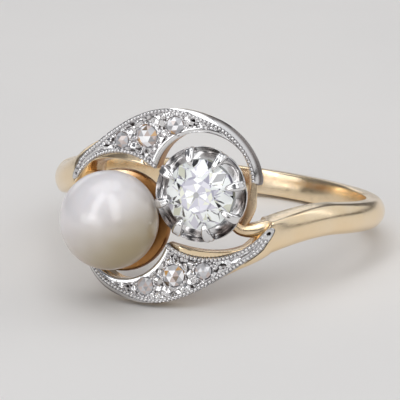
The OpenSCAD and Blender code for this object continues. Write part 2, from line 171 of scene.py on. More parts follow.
@dataclass(frozen=True)
class RingPlan:
    """Driving sizes of the ring and the plan of its head, as the part's source has them."""

    # stones, finger hole and hoop
    pearl_d: float = 6.0
    peg_l: float = 3.0
    rose_d: float = 1.3
    diamond_d: float = 4.2
    finger_d: float = 18.0
    hoop_t: float = 1.3
    hoop_w: float = 1.6
    # head and plates
    shoulder_flare: float = 0.6
    head_rise: float = 1.1
    pair_turn: float = 23.4
    plate_t: float = 0.5
    rim_t: float = 0.85
    ledge_w: float = 0.4
    # settings
    collar_w: float = 0.78
    girdle_rise: float = 3.3
    collet_rise: float = 0.35
    pearl_rise: float = 0.4
    cup_t: float = 0.34
    cup_h: float = 1.5
    cup_share: float = 1.02
    cup_shift: tuple[float, float] = (0.017, -0.045)
    gap: float = 0.03
    # plan of a swirl: bearings in degrees, and shares of half the stones' distance
    barrel_share: float = 1.02
    edge_start: float = 12.0
    edge_step: float = 15.0
    edge_shares: tuple[float, ...] = (1.95, 2.07, 2.13, 2.13, 2.06, 1.995, 1.93, 1.87, 1.86, 1.935, 2.14)
    tip_bearing: float = 175.5
    tip_share: float = 2.27
    opening_share: float = 0.99
    opening_shift: float = 0.26
    opening_bearing: float = 128.0
    hollow_share: float = 1.32
    tip_opening: float = -6.0
    cusp_edge: float = 110.0
    tail_edge: float = 163.0
    tail_hollow: float = 160.0
    ledge_peak: float = 0.3
    ledge_end: float = 0.7

    @property
    def finger_r(self) -> float:
        """Radius of the finger hole."""
        return self.finger_d / 2

    @property
    def hoop_r(self) -> float:
        """Outer radius of the hoop."""
        return self.finger_r + self.hoop_t

    @property
    def pearl_r(self) -> float:
        """Radius of the pearl."""
        return self.pearl_d / 2

    @property
    def diamond_r(self) -> float:
        """Radius of the diamond's girdle."""
        return self.diamond_d / 2

    @property
    def collar_r(self) -> float:
        """Outer radius of the diamond's collar."""
        return self.diamond_r + self.collar_w

    @property
    def half_pitch(self) -> float:
        """Half the distance between the two stones."""
        return (self.pearl_r + self.collar_r + 2 * self.gap) / 2

    @property
    def diamond_at(self) -> Array:
        """Place of the diamond in the plan."""
        return polar(self.pair_turn, self.half_pitch)

    @property
    def pearl_at(self) -> Array:
        """Place of the pearl in the plan."""
        return -self.diamond_at

    @property
    def barrel_r(self) -> float:
        """Radius of the barrel on which the swirls' top lies."""
        return self.hoop_r * self.barrel_share

    @property
    def barrel_z(self) -> float:
        """Height of that barrel's axis."""
        return self.hoop_r + self.head_rise - self.barrel_r

    @property
    def girdle_z(self) -> float:
        """Height of the diamond's girdle."""
        return self.finger_r + self.girdle_rise

    @property
    def collet_z(self) -> float:
        """Height of the collet's foot."""
        return self.finger_r + self.collet_rise

    @property
    def pearl_z(self) -> float:
        """Height of the pearl's middle."""
        return self.finger_r + self.pearl_rise + self.pearl_r

    @property
    def cup_r(self) -> float:
        """Outer radius of the pearl cup."""
        return self.pearl_r * self.cup_share

    @property
    def cup_z(self) -> float:
        """Height of the pearl cup's foot."""
        return self.finger_r + self.pearl_rise - self.cup_t

    @property
    def cup_at(self) -> Array:
        """Place of the pearl cup in the plan, a little nearer to the lower swirl than the pearl."""
        return self.pearl_at + self.half_pitch * np.array(self.cup_shift)

    @property
    def opening_r(self) -> float:
        """Radius of the opening round a stone."""
        return self.half_pitch * self.opening_share

    @property
    def opening_at(self) -> Array:
        """Middle of the opening round the diamond."""
        return self.diamond_at + polar(self.opening_bearing, self.half_pitch * self.opening_shift)

    @property
    def hollow_r(self) -> float:
        """Radius of the concave edge of a tail, round the neighbouring stone."""
        return self.half_pitch * self.hollow_share

    @property
    def tail_tip(self) -> Array:
        """Tip of a plate's tail."""
        return polar(self.tip_bearing, self.half_pitch * self.tip_share)

    @property
    def cusp(self) -> Array:
        """Corner at which the opening and the hollow meet.

        Returns:
            Its place in the plan.
        """
        between = self.opening_at - self.pearl_at
        d = np.linalg.norm(between)
        along = (self.hollow_r**2 - self.opening_r**2 + d * d) / (2 * d)
        side = math.sqrt(self.hollow_r**2 - along**2)
        u = between / d
        return self.pearl_at + along * u + side * np.array([-u[1], u[0]])

    def edge(self, bearing: Array) -> Array:
        """Points on a swirl's outer edge, by bearing."""
        reach = self.half_pitch * smooth_curve(self.edge_shares, (bearing - self.edge_start) / self.edge_step)
        return polar(bearing, reach)

    def edge_normal(self, bearing: Array) -> Array:
        """Directions out of the swirl, square to its outer edge.

        Args:
            bearing: Bearings in degrees.

        Returns:
            One direction for each bearing.
        """
        t = self.edge(bearing - 1) - self.edge(bearing + 1)
        n = np.stack([-t[:, 1], t[:, 0]], -1)
        return n / np.linalg.norm(n, axis=1, keepdims=True)

    def opening(self, v: Array) -> Array:
        """Points on the opening's edge, from the thin end at v = 0 to the cusp at v = 1."""
        end = bearing_of(self.cusp - self.opening_at)
        return self.opening_at + polar(mix(self.tip_opening, end, v), self.opening_r)

    def hollow(self, v: Array, inset: Array | float = 0.0, end: float | None = None) -> Array:
        """Points on the hollow's edge, from the cusp at v = 0 towards the tail.

        Args:
            v: Shares of the way.
            inset: How far inside the hollow's circle the points lie.
            end: Bearing from the neighbouring stone at v = 1, or None for the gold's last one.

        Returns:
            Points in the plan.
        """
        start = bearing_of(self.cusp - self.pearl_at)
        stop = self.tail_hollow if end is None else end
        return self.pearl_at + polar(mix(start, stop, v), self.hollow_r - inset)

    def ledge(self, v: Array) -> Array:
        """How far the gold shows beyond the plate's hollow edge."""
        share = np.clip(v / self.ledge_end, 0, 1)
        return self.ledge_w * np.sin(np.pi * share ** (math.log(0.5) / math.log(self.ledge_peak / self.ledge_end)))

    def on_barrel(self, plan: Array, lift: Array | float = 0.0) -> Array:
        """Lays points of the plan on the swirls' top.

        Args:
            plan: Points in the plan.
            lift: How far above the top each one lies, square to it.

        Returns:
            Points in space.
        """
        x, y = plan[..., 0], plan[..., 1]
        share = 1 + lift / self.barrel_r
        z = np.sqrt(self.barrel_r**2 - x * x)
        return np.stack([x * share, y, self.barrel_z + z * share], -1)

    def over_barrel(self, points: Array) -> Array:
        """Heights of points above the swirls' top."""
        return np.hypot(points[:, 0], points[:, 2] - self.barrel_z) - self.barrel_r


PLAN = RingPlan()


def radius_of(points: Array) -> Array:
    """Distances of points from the finger's axis."""
    return np.hypot(points[..., 0], points[..., 2])


def at_radius(points: Array, radius: Array | float) -> Array:
    """Moves points square to the finger's axis, to a given distance from it."""
    share = (radius / radius_of(points))[..., None]
    return points * np.concatenate([share, np.ones_like(share), share], -1)


def half_turned(points: Array) -> Array:
    """Turns points half round the head's axis."""
    return points * np.array([-1.0, -1.0, 1.0])


def add_object(name: str, data: bpy.types.ID) -> bpy.types.Object:
    """Puts an object into the scene.

    Args:
        name: Its name.
        data: Its mesh, light or camera.

    Returns:
        The object.
    """
    obj = bpy.data.objects.new(name, data)
    bpy.context.scene.collection.objects.link(obj)
    return obj


def mesh_of(name: str, points: Sequence, edges: Sequence = (), faces: Sequence = ()) -> bpy.types.Mesh:
    """Makes a mesh.

    Args:
        name: Its name.
        points: Its points.
        edges: Both points of each edge that belongs to no face.
        faces: The corners of each face.

    Returns:
        The mesh.
    """
    mesh = bpy.data.meshes.new(name)
    mesh.from_pydata([tuple(p) for p in points], edges, [tuple(f) for f in faces])
    return mesh


def points_of(mesh: bpy.types.Mesh) -> Array:
    """Reads the points of a mesh.

    Args:
        mesh: The mesh.

    Returns:
        Its points, one a row.
    """
    points = np.zeros(len(mesh.vertices) * 3)
    mesh.vertices.foreach_get("co", points)
    return points.reshape(-1, 3)


def mark(mesh: bpy.types.Mesh, name: str, values: Array) -> None:
    """Gives each point of a mesh a number, kept under a name."""
    mesh.attributes.new(name, "FLOAT", "POINT").data.foreach_set("value", values.astype(np.float32))


def grid_faces(rows: int, sides: int, looped: bool = False) -> list[list[int]]:
    """Numbers the corners of the faces between rings of points.

    Args:
        rows: How many rings there are.
        sides: How many points each ring has.
        looped: Whether the last ring joins the first. If not, fans close both ends, each to a point after the grid.

    Returns:
        The corners of each face.
    """
    corner = np.arange(rows * sides).reshape(rows, sides)
    if looped:
        corner = np.concatenate([corner, corner[:1]])
    turned = np.roll(corner, -1, axis=1)
    faces = np.stack([corner[:-1], turned[:-1], turned[1:], corner[1:]], -1).reshape(-1, 4).tolist()
    if not looped:
        faces += [[rows * sides + k, *pair] for k in (0, 1) for pair in zip(corner[-k], turned[-k])]
    return faces


class Solid:
    """A closed mesh under construction, in the ring's frame."""

    def __init__(self, name: str, mesh: bpy.types.Mesh) -> None:
        """Wraps a mesh as it is."""
        self.obj = add_object(name, mesh)

    @classmethod
    def of_faces(cls, name: str, corners: Sequence, faces: Sequence[Sequence[int]]) -> "Solid":
        """Makes a solid and turns its faces outwards.

        Args:
            name: Name of the object.
            corners: Its corners in millimetres.
            faces: The corners of each face.

        Returns:
            The solid.
        """
        solid = cls(name, mesh_of(name, np.asarray(corners, float), faces=faces))
        solid.face_outwards()
        return solid

    @classmethod
    def hoop(cls, name: str, grid: Array) -> "Solid":
        """Joins sections by points by three that are closed both round the hoop and round its section."""
        return cls.of_faces(name, grid.reshape(-1, 3), grid_faces(*grid.shape[:2], looped=True))

    @classmethod
    def tube(cls, name: str, rings: Array) -> "Solid":
        """Joins closed rings, as rings by points by three, into a tube with two capped ends."""
        corners = np.concatenate([rings.reshape(-1, 3), rings[[0, -1]].mean(1)])
        return cls.of_faces(name, corners, grid_faces(*rings.shape[:2]))

    @classmethod
    def turned(cls, name: str, profile: Array, at: Array, steps: int = 128) -> "Solid":
        """Turns a profile about an upright axis.

        Args:
            name: Name of the object.
            profile: Radius and height of each point, from the axis back to the axis.
            at: Place of the axis in the plan.
            steps: Points round the axis.

        Returns:
            The solid.
        """
        ring = polar(np.arange(steps) * 360 / steps, 1.0)
        inner = profile[1:-1]
        points = np.concatenate([inner[:, None, :1] * ring[None], np.tile(inner[:, None, 1:], (1, steps, 1))], -1)
        poles = [[0, 0, profile[0][1]], [0, 0, profile[-1][1]]]
        corners = np.concatenate([points.reshape(-1, 3), poles]) + np.array([*at, 0.0])
        return cls.of_faces(name, corners, grid_faces(len(inner), steps))

    @classmethod
    def pin(cls, name: str, radius: float, low: float, top: float, at: Array, steps: int) -> "Solid":
        """Makes an upright round pin from a low to a top height, with its axis at a place in the plan."""
        return cls.turned(name, np.array([[0, low], [radius, low], [radius, top], [0, top]]), at, steps)

    def face_outwards(self) -> None:
        """Turns all faces the same way, with the solid's inside behind them."""
        shape = bmesh.new()
        shape.from_mesh(self.obj.data)
        bmesh.ops.recalc_face_normals(shape, faces=shape.faces)
        if shape.calc_volume(signed=True) < 0:
            bmesh.ops.reverse_faces(shape, faces=shape.faces)
        shape.to_mesh(self.obj.data)
        shape.free()

    def carve(self, how: Carve, *tools: "Solid") -> "Solid":
        """Adds other solids to this one or cuts them away, and uses them up.

        Args:
            how: Whether to add or to cut.
            tools: The other solids.

        Returns:
            This solid.
        """
        for tool in tools:
            step = self.obj.modifiers.new(how.name.lower(), "BOOLEAN")
            step.operation = how.value
            step.solver = "MANIFOLD"
            step.object = tool.obj
            self.settle()
            tool.discard()
        return self

    def settle(self) -> "Solid":
        """Makes the modifiers' result the mesh itself.

        Returns:
            This solid.
        """
        graph = bpy.context.evaluated_depsgraph_get()
        old = self.obj.data
        self.obj.data = bpy.data.meshes.new_from_object(self.obj.evaluated_get(graph))
        self.obj.modifiers.clear()
        bpy.data.meshes.remove(old)
        return self

    def weld(self, reach: float) -> None:
        """Joins corners that lie on each other, and takes away slivers and faces that lie back to back.

        Args:
            reach: How far apart they may lie.
        """
        shape = bmesh.new()
        shape.from_mesh(self.obj.data)
        bmesh.ops.triangulate(shape, faces=shape.faces)
        bmesh.ops.remove_doubles(shape, verts=shape.verts, dist=reach)
        twins: dict[frozenset, list] = {}
        for face in shape.faces:
            twins.setdefault(frozenset(face.verts), []).append(face)
        flaps = [face for pair in twins.values() if len(pair) > 1 for face in pair]
        bmesh.ops.delete(shape, geom=flaps, context="FACES_ONLY")
        bmesh.ops.delete(shape, geom=[edge for edge in shape.edges if not edge.link_faces], context="EDGES")
        bmesh.ops.delete(shape, geom=[vertex for vertex in shape.verts if not vertex.link_faces], context="VERTS")
        shape.to_mesh(self.obj.data)
        shape.free()

    def welded(self) -> "Solid":
        """Joins corners that lie on each other and turns the faces outwards.

        Returns:
            This solid.
        """
        self.weld(SAME_PLACE)
        self.face_outwards()
        return self

    def discard(self) -> None:
        """Removes the object and its mesh."""
        mesh = self.obj.data
        bpy.data.objects.remove(self.obj)
        bpy.data.meshes.remove(mesh)

    def finished(
        self,
        node: str,
        slot: Slot,
        material: bpy.types.Material,
        stand: Stand,
        turned: bool = False,
        smooth: float = 35.0,
    ) -> bpy.types.Object:
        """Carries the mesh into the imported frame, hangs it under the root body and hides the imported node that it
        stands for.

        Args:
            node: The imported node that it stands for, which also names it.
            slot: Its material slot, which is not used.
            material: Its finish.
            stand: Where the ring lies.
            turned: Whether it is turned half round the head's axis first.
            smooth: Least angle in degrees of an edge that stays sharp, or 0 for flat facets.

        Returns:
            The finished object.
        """
        self.weld(SLIVER)
        mesh = self.obj.data
        mesh.transform(stand.matrix() @ (HALF_TURN if turned else Matrix.Identity(4)))
        mesh.materials.clear()
        mesh.materials.append(material)
        mesh.polygons.foreach_set("material_index", [0] * len(mesh.polygons))
        mesh.polygons.foreach_set("use_smooth", [smooth > 0] * len(mesh.polygons))
        if smooth > 0:
            mesh.set_sharp_from_angle(angle=math.radians(smooth))
        mesh.update()
        self.obj.name = f"{node}_dressed"
        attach(self.obj, "root")
        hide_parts(node)
        mesh.calc_loop_triangles()
        LOG.info("%s: %d triangles", self.obj.name, len(mesh.loop_triangles))
        return self.obj


@dataclass(frozen=True)
class Section:
    """Cross-section of the gold between two points on its top.

    Attributes:
        a: Point on its outer edge.
        b: Point on its inner edge.
        drop: How far its top lies below them.
        depth: Its thickness towards the finger hole.
        round_a: How far its top falls at the outer edge.
        round_b: How far its top falls at the inner edge.
        corner: Radius of its long edges.
        lift: How far its top rises towards the inner edge.
        corner_shares: Largest radius of its long edges, as shares of half its width and of its depth.
        deepest_fall: How far its top may fall, as a share of its depth.
        thinnest: Least thickness anywhere.
    """

    a: Array
    b: Array
    drop: float
    depth: float
    round_a: float
    round_b: float
    corner: float
    lift: float = 0.0
    corner_shares: tuple[float, float] = (0.45, 0.4)
    deepest_fall: float = 0.8
    thinnest: float = 0.02

    def points(self, plan: RingPlan) -> Array:
        """Works out the points round the section.

        Args:
            plan: Sizes of the ring.

        Returns:
            Points, from the outer edge over the top and back along the underside.
        """
        half_width = np.linalg.norm(self.a - self.b) / 2
        of_width, of_depth = self.corner_shares
        corner = min(self.corner, of_width * half_width, of_depth * self.depth)
        across = np.sin(np.linspace(-1, 1, CROWN_POINTS) * np.pi / 2)
        from_wall = (1 - np.abs(across)) * half_width
        fillet = corner - np.sqrt(np.clip(corner**2 - np.clip(corner - from_wall, 0, None) ** 2, 0, None))
        on_chord = mix(self.b, self.a, ((1 - across) / 2)[:, None])
        fall = np.where(across < 0, self.round_a, self.round_b) * np.abs(across) ** CROWN_POWER
        reach = radius_of(on_chord)
        rise = self.lift * (1 + across) / 2
        top = reach - self.drop + rise - np.minimum(fall + fillet, self.deepest_fall * self.depth)
        under = np.maximum(plan.finger_r, reach - self.drop - self.depth) + fillet
        under = np.minimum(under, top - self.thinnest)
        return np.concatenate([at_radius(on_chord, top), at_radius(on_chord, under)[::-1]])


@dataclass(frozen=True)
class Shank:
    """The gold in one piece: hoop, shoulders, rims under the swirls, pearl cup and forks."""

    plan: RingPlan = PLAN
    # over how many degrees, or what share of the way, one form passes into the next
    bend_run: float = 30.0
    rise_run: float = 50.0
    underside_run: float = 0.42
    # finger hole
    bore_stock: float = 0.4
    bore_slack: float = 0.002
    bore_l: float = 20.0
    # hoop
    hoop_round: float = 0.45
    hoop_corner: float = 0.16
    hoop_spread: float = 1.1
    hoop_trim: float = 0.03
    # rims and tails under the plates
    rim_corner: float = 0.07
    rim_inset: float = 0.07
    inset_fade: float = 3.0
    seat_gaps: float = 1.6
    flush_from: float = 0.6
    leaf_drop: float = 0.1
    leaf_run: float = 0.12
    # how finely each part is divided
    rim_steps: int = 56
    tail_steps: int = 50
    hoop_steps: int = 110
    row_steps: int = 8
    cup_steps: int = 25
    # peg, forks and the gold that ties the thin ends to them
    peg_d: float = 0.8
    fork_drop: float = 0.4
    fork_t: float = 0.8
    fork_corner: float = 0.12
    tie_round: float = 0.12
    tie_end: float = 0.07
    # painted shade and dark reflections inside the head, partly standing for oxide
    head_r: float = 5.6
    head_fade: float = 0.8
    dark_from: float = 0.25
    dark_run: float = 0.5
    tie_edges: tuple[tuple[tuple[float, float], tuple[float, float]], ...] = (
        ((1.74, -0.3), (1.6, -0.26)),
        ((1.84, -0.06), (1.68, -0.02)),
        ((1.9, 0.18), (1.72, 0.24)),
    )
    cup_profile: tuple[tuple[float, float], ...] = ((0.45, 0), (0.8, 0.25), (1, 0.6), (1, 0.93), (0.96, 1))
    fork_edges: tuple[tuple[tuple[float, float], tuple[float, float]], ...] = (
        ((-2.4, 0.36), (-2.4, 0.04)),
        ((-2.12, 0.39), (-2.12, 0.06)),
        ((-1.85, 0.44), (-1.89, 0.135)),
        ((-1.6, 0.4), (-1.68, 0.17)),
        ((-1.4, 0.24), (-1.54, 0.08)),
        ((-1.18, 0.1), (-1.3, -0.04)),
    )

    @property
    def seat_drop(self) -> float:
        """How far the gold lies below the swirls' top under a plate."""
        return self.plan.plate_t + self.seat_gaps * self.plan.gap

    def tail_station(self, v: Array) -> tuple[Array, Array]:
        """Points on a tail's outer and inner edge.

        Args:
            v: Shares of the way from the cusp to the shoulder.

        Returns:
            The outer and the inner points.
        """
        plan = self.plan
        bearing = mix(plan.cusp_edge, plan.tail_edge, v)
        flare = (plan.shoulder_flare * v * v)[:, None]
        outer = plan.edge(bearing) + flare * plan.edge_normal(bearing)
        return plan.on_barrel(outer), plan.on_barrel(plan.hollow(v, plan.ledge(v)))

    def depth_to_bore(self, a: Array, b: Array, drop: float) -> float:
        """Thickness of the gold where it reaches down to the finger hole."""
        return float(radius_of((a + b) / 2)) - drop - self.plan.finger_r + self.bore_stock

    def rim_stations(self, v: Array) -> Array:
        """Plan of the rim's two edges, from the thin end at v = 0 to the cusp at v = 1.

        Args:
            v: Shares of the way.

        Returns:
            The outer and the inner point for each share.
        """
        plan = self.plan
        bearing = mix(plan.edge_start, plan.cusp_edge, v)
        inset = self.rim_inset * np.clip((1 - v) * self.inset_fade, 0, 1)[:, None] * plan.edge_normal(bearing)
        return np.stack([plan.edge(bearing) - inset, plan.opening(v)], 1)

    def tie_sections(self) -> list[Array]:
        """Sections of the gold that runs from the fork round the stone to the thin end.

        Returns:
            The points round each section.
        """
        plan, count = self.plan, len(self.tie_edges)
        on_rim = self.rim_stations(np.array([0.0, self.tie_end]))
        knots = np.concatenate([np.array(self.tie_edges) * plan.half_pitch, on_rim])
        rows = smooth_curve(knots, np.linspace(0, count, self.row_steps * count, endpoint=False))
        fall = self.tie_round * np.linspace(1, 0, len(rows))
        return [
            Section(*plan.on_barrel(row), self.seat_drop, plan.rim_t, f, f, self.rim_corner).points(plan)
            for row, f in zip(rows, fall)
        ]

    def rim_sections(self) -> list[Array]:
        """Sections of the rim, from the thin end to the cusp.

        Returns:
            The points round each section.
        """
        rows = self.plan.on_barrel(self.rim_stations(np.arange(self.rim_steps) / self.rim_steps))
        return [
            Section(a, b, self.seat_drop, self.plan.rim_t, 0.0, 0.0, self.rim_corner).points(self.plan) for a, b in rows
        ]

    def tail_sections(self) -> list[Array]:
        """Sections of the tail, from the cusp to the shoulder.

        Returns:
            The points round each section.
        """
        v = np.linspace(0, 1, self.tail_steps + 1)
        sections = []
        for share, a, b in zip(v, *self.tail_station(v)):
            drop = self.seat_drop * float(np.clip((1 - share) / (1 - self.flush_from), 0, 1))
            solid = self.depth_to_bore(a, b, drop)
            depth = float(mix(self.plan.rim_t, solid, fade((1 - share) / self.underside_run)))
            corner = mix(self.rim_corner, self.hoop_corner, share**2)
            lift = max(0.0, drop - self.leaf_drop) * float(smooth_step(share / self.leaf_run))
            section = Section(a, b, drop, depth, self.hoop_round * share**2, 0.0, corner, lift)
            sections.append(section.points(self.plan))
        return sections

    def hoop_sections(self) -> list[Array]:
        """Sections of one half of the hoop, from the shoulder to its back.

        Returns:
            The points round each section.
        """
        (a,), (b,) = self.tail_station(np.array([1.0]))
        middle, half = (a + b) / 2, (a[1] - b[1]) / 2
        start = math.degrees(math.atan2(-middle[0], middle[2]))
        reach = float(radius_of(middle))
        sections = []
        for step in range(1, self.hoop_steps + 1):
            turn = mix(start, 180.0, (step / self.hoop_steps) ** self.hoop_spread)
            bent = float(fade((turn - start) / self.bend_run))
            top = float(mix(self.plan.hoop_r - self.hoop_trim, reach, fade((turn - start) / self.rise_run)))
            wide = float(mix(self.plan.hoop_w / 2, half, fade((turn - start) / (180 - start))))
            x, z = -top * math.sin(math.radians(turn)), top * math.cos(math.radians(turn))
            a = np.array([x, middle[1] * bent + wide, z])
            b = np.array([x, middle[1] * bent - wide, z])
            depth = self.depth_to_bore(a, b, 0.0)
            fall = self.hoop_round
            sections.append(Section(a, b, 0.0, depth, fall, fall * (1 - bent), self.hoop_corner).points(self.plan))
        return sections

    def band(self) -> Solid:
        """The hoop with both shoulders, tails and rims, as one tube.

        Returns:
            The solid.
        """
        half = np.stack(self.tie_sections() + self.rim_sections() + self.tail_sections() + self.hoop_sections())
        other = half_turned(half[-2::-1])
        other = np.concatenate([other[:, CROWN_POINTS - 1 :: -1], other[:, : CROWN_POINTS - 1 : -1]], axis=1)
        return Solid.tube("band", np.concatenate([half, other]))

    def cup(self) -> Solid:
        """The block of which the cup under the pearl is hollowed out.

        Returns:
            The solid.
        """
        plan = self.plan
        knots = np.array(self.cup_profile) * np.array([plan.cup_r, plan.cup_h])
        outside = smooth_curve(knots, np.linspace(0, len(knots) - 1, self.cup_steps))
        profile = np.concatenate([[[0, 0]], outside, [[0, plan.cup_h]]]) + np.array([0, plan.cup_z])
        return Solid.turned("cup", profile, plan.cup_at)

    def peg(self) -> Solid:
        """The peg in the pearl."""
        plan = self.plan
        return Solid.pin("peg", self.peg_d / 2, plan.cup_z, plan.cup_z + plan.cup_t + plan.peg_l, plan.pearl_at, 48)

    def fork(self, rows: int) -> Solid:
        """A fork from a shoulder to the setting beside it.

        Args:
            rows: How many of its rows are used.

        Returns:
            The fork of the pearl's side.
        """
        plan = self.plan
        at = np.linspace(rows - 1, 0, self.row_steps * rows)
        edges = [plan.half_pitch * smooth_curve([row[k] for row in self.fork_edges], at) for k in (0, 1)]
        fall = self.fork_t / 4
        sections = [
            Section(a, b, self.fork_drop, self.fork_t, fall, fall, self.fork_corner).points(plan)
            for a, b in zip(*(plan.on_barrel(edge) for edge in edges))
        ]
        return Solid.tube("fork", np.stack(sections))

    def build(self, collet_space: Solid, plate_seats: Sequence[Solid]) -> Solid:
        """Joins the parts of the shank and lets the collet and the plates in.

        Args:
            collet_space: What the collet takes up.
            plate_seats: What the two plates take up, and all above them.

        Returns:
            The shank.
        """
        plan, rows = self.plan, len(self.fork_edges)
        far_fork = self.fork(rows)
        far_fork.obj.data.transform(HALF_TURN)
        ball = polar(np.linspace(-90, 90, 65), plan.pearl_r + plan.gap) + np.array([0, plan.pearl_z])
        ball[[0, -1], 0] = 0
        whole = self.band().carve(Carve.ADD, self.fork(rows - 1), far_fork, self.cup())
        whole.carve(Carve.CUT, Solid.turned("pearl_space", ball, plan.pearl_at, 160))
        whole.carve(Carve.ADD, self.peg())
        whole.carve(Carve.CUT, collet_space, *plate_seats, Solid.tube("bore", self.bore_rings()))
        self.mark_oxide_and_shade(whole.obj.data)
        return whole

    def mark_oxide_and_shade(self, mesh: bpy.types.Mesh) -> None:
        """Marks how deep each point lies inside the head, for painted shade and dark reflections there that partly
        stand for oxide.

        Args:
            mesh: The shank's mesh.
        """
        points = points_of(mesh)
        in_head = smooth_step((self.head_r - np.hypot(points[:, 0], points[:, 1])) / self.head_fade)
        inside = in_head * (points[:, 2] > 0)
        # the mark paints shade into the gold's base colour, more of it deeper in the head
        mark(mesh, "recess", smooth_step((-self.plan.over_barrel(points) - self.dark_from) / self.dark_run) * inside)

    def bore_rings(self) -> Array:
        """Rings of the finger hole's cylinder, a hair wider than the band's own underside.

        Returns:
            The points of both rings.
        """
        angle = np.arange(360) * np.pi / 180
        radius = self.plan.finger_r + self.bore_slack
        circle = np.stack([radius * np.sin(angle), 0 * angle, radius * np.cos(angle)], -1)
        return np.stack([circle + np.array([0, y, 0]) for y in (-self.bore_l / 2, self.bore_l / 2)])


def sample_line(points: Array, spacing: float) -> Array:
    """Puts points at even distances along a line.

    Args:
        points: Corners of the line.
        spacing: Distance between two points.

    Returns:
        The new points, both ends among them.
    """
    step = np.linalg.norm(np.diff(points, axis=0), axis=1)
    along = np.concatenate([[0], np.cumsum(step)])
    at = np.linspace(0, along[-1], max(2, round(along[-1] / spacing) + 1))
    return np.stack([np.interp(at, along, points[:, k]) for k in range(points.shape[1])], -1)


def distance_to(points: Array, line: Array) -> Array:
    """Least distances of points in the plan from a densely sampled line.

    Args:
        points: The points.
        line: Points along the line.

    Returns:
        One distance for each point.
    """
    parts = np.array_split(points.reshape(-1, 2), BATCHES)
    near = [np.linalg.norm(part[:, None] - line[None], axis=2).min(1) for part in parts]
    return np.concatenate(near).reshape(points.shape[:-1])


@dataclass(frozen=True)
class RoseSeat:
    """Place and size of a rose-cut diamond in a swirl.

    Attributes:
        bearing: Bearing in degrees in the plan.
        share: Reach as a share of half the stones' distance.
        size: Share of the largest rose-cut diamond's diameter.
    """

    bearing: float
    share: float
    size: float

    def at(self, plan: RingPlan) -> Array:
        """Place in the plan."""
        return polar(self.bearing, self.share * plan.half_pitch)

    def radius(self, plan: RingPlan) -> float:
        """Radius of the stone."""
        return plan.rose_d * self.size / 2


ROSE_SEATS = (RoseSeat(131, 1.565, 0.75), RoseSeat(108.5, 1.43, 1.0), RoseSeat(86, 1.66, 0.8))


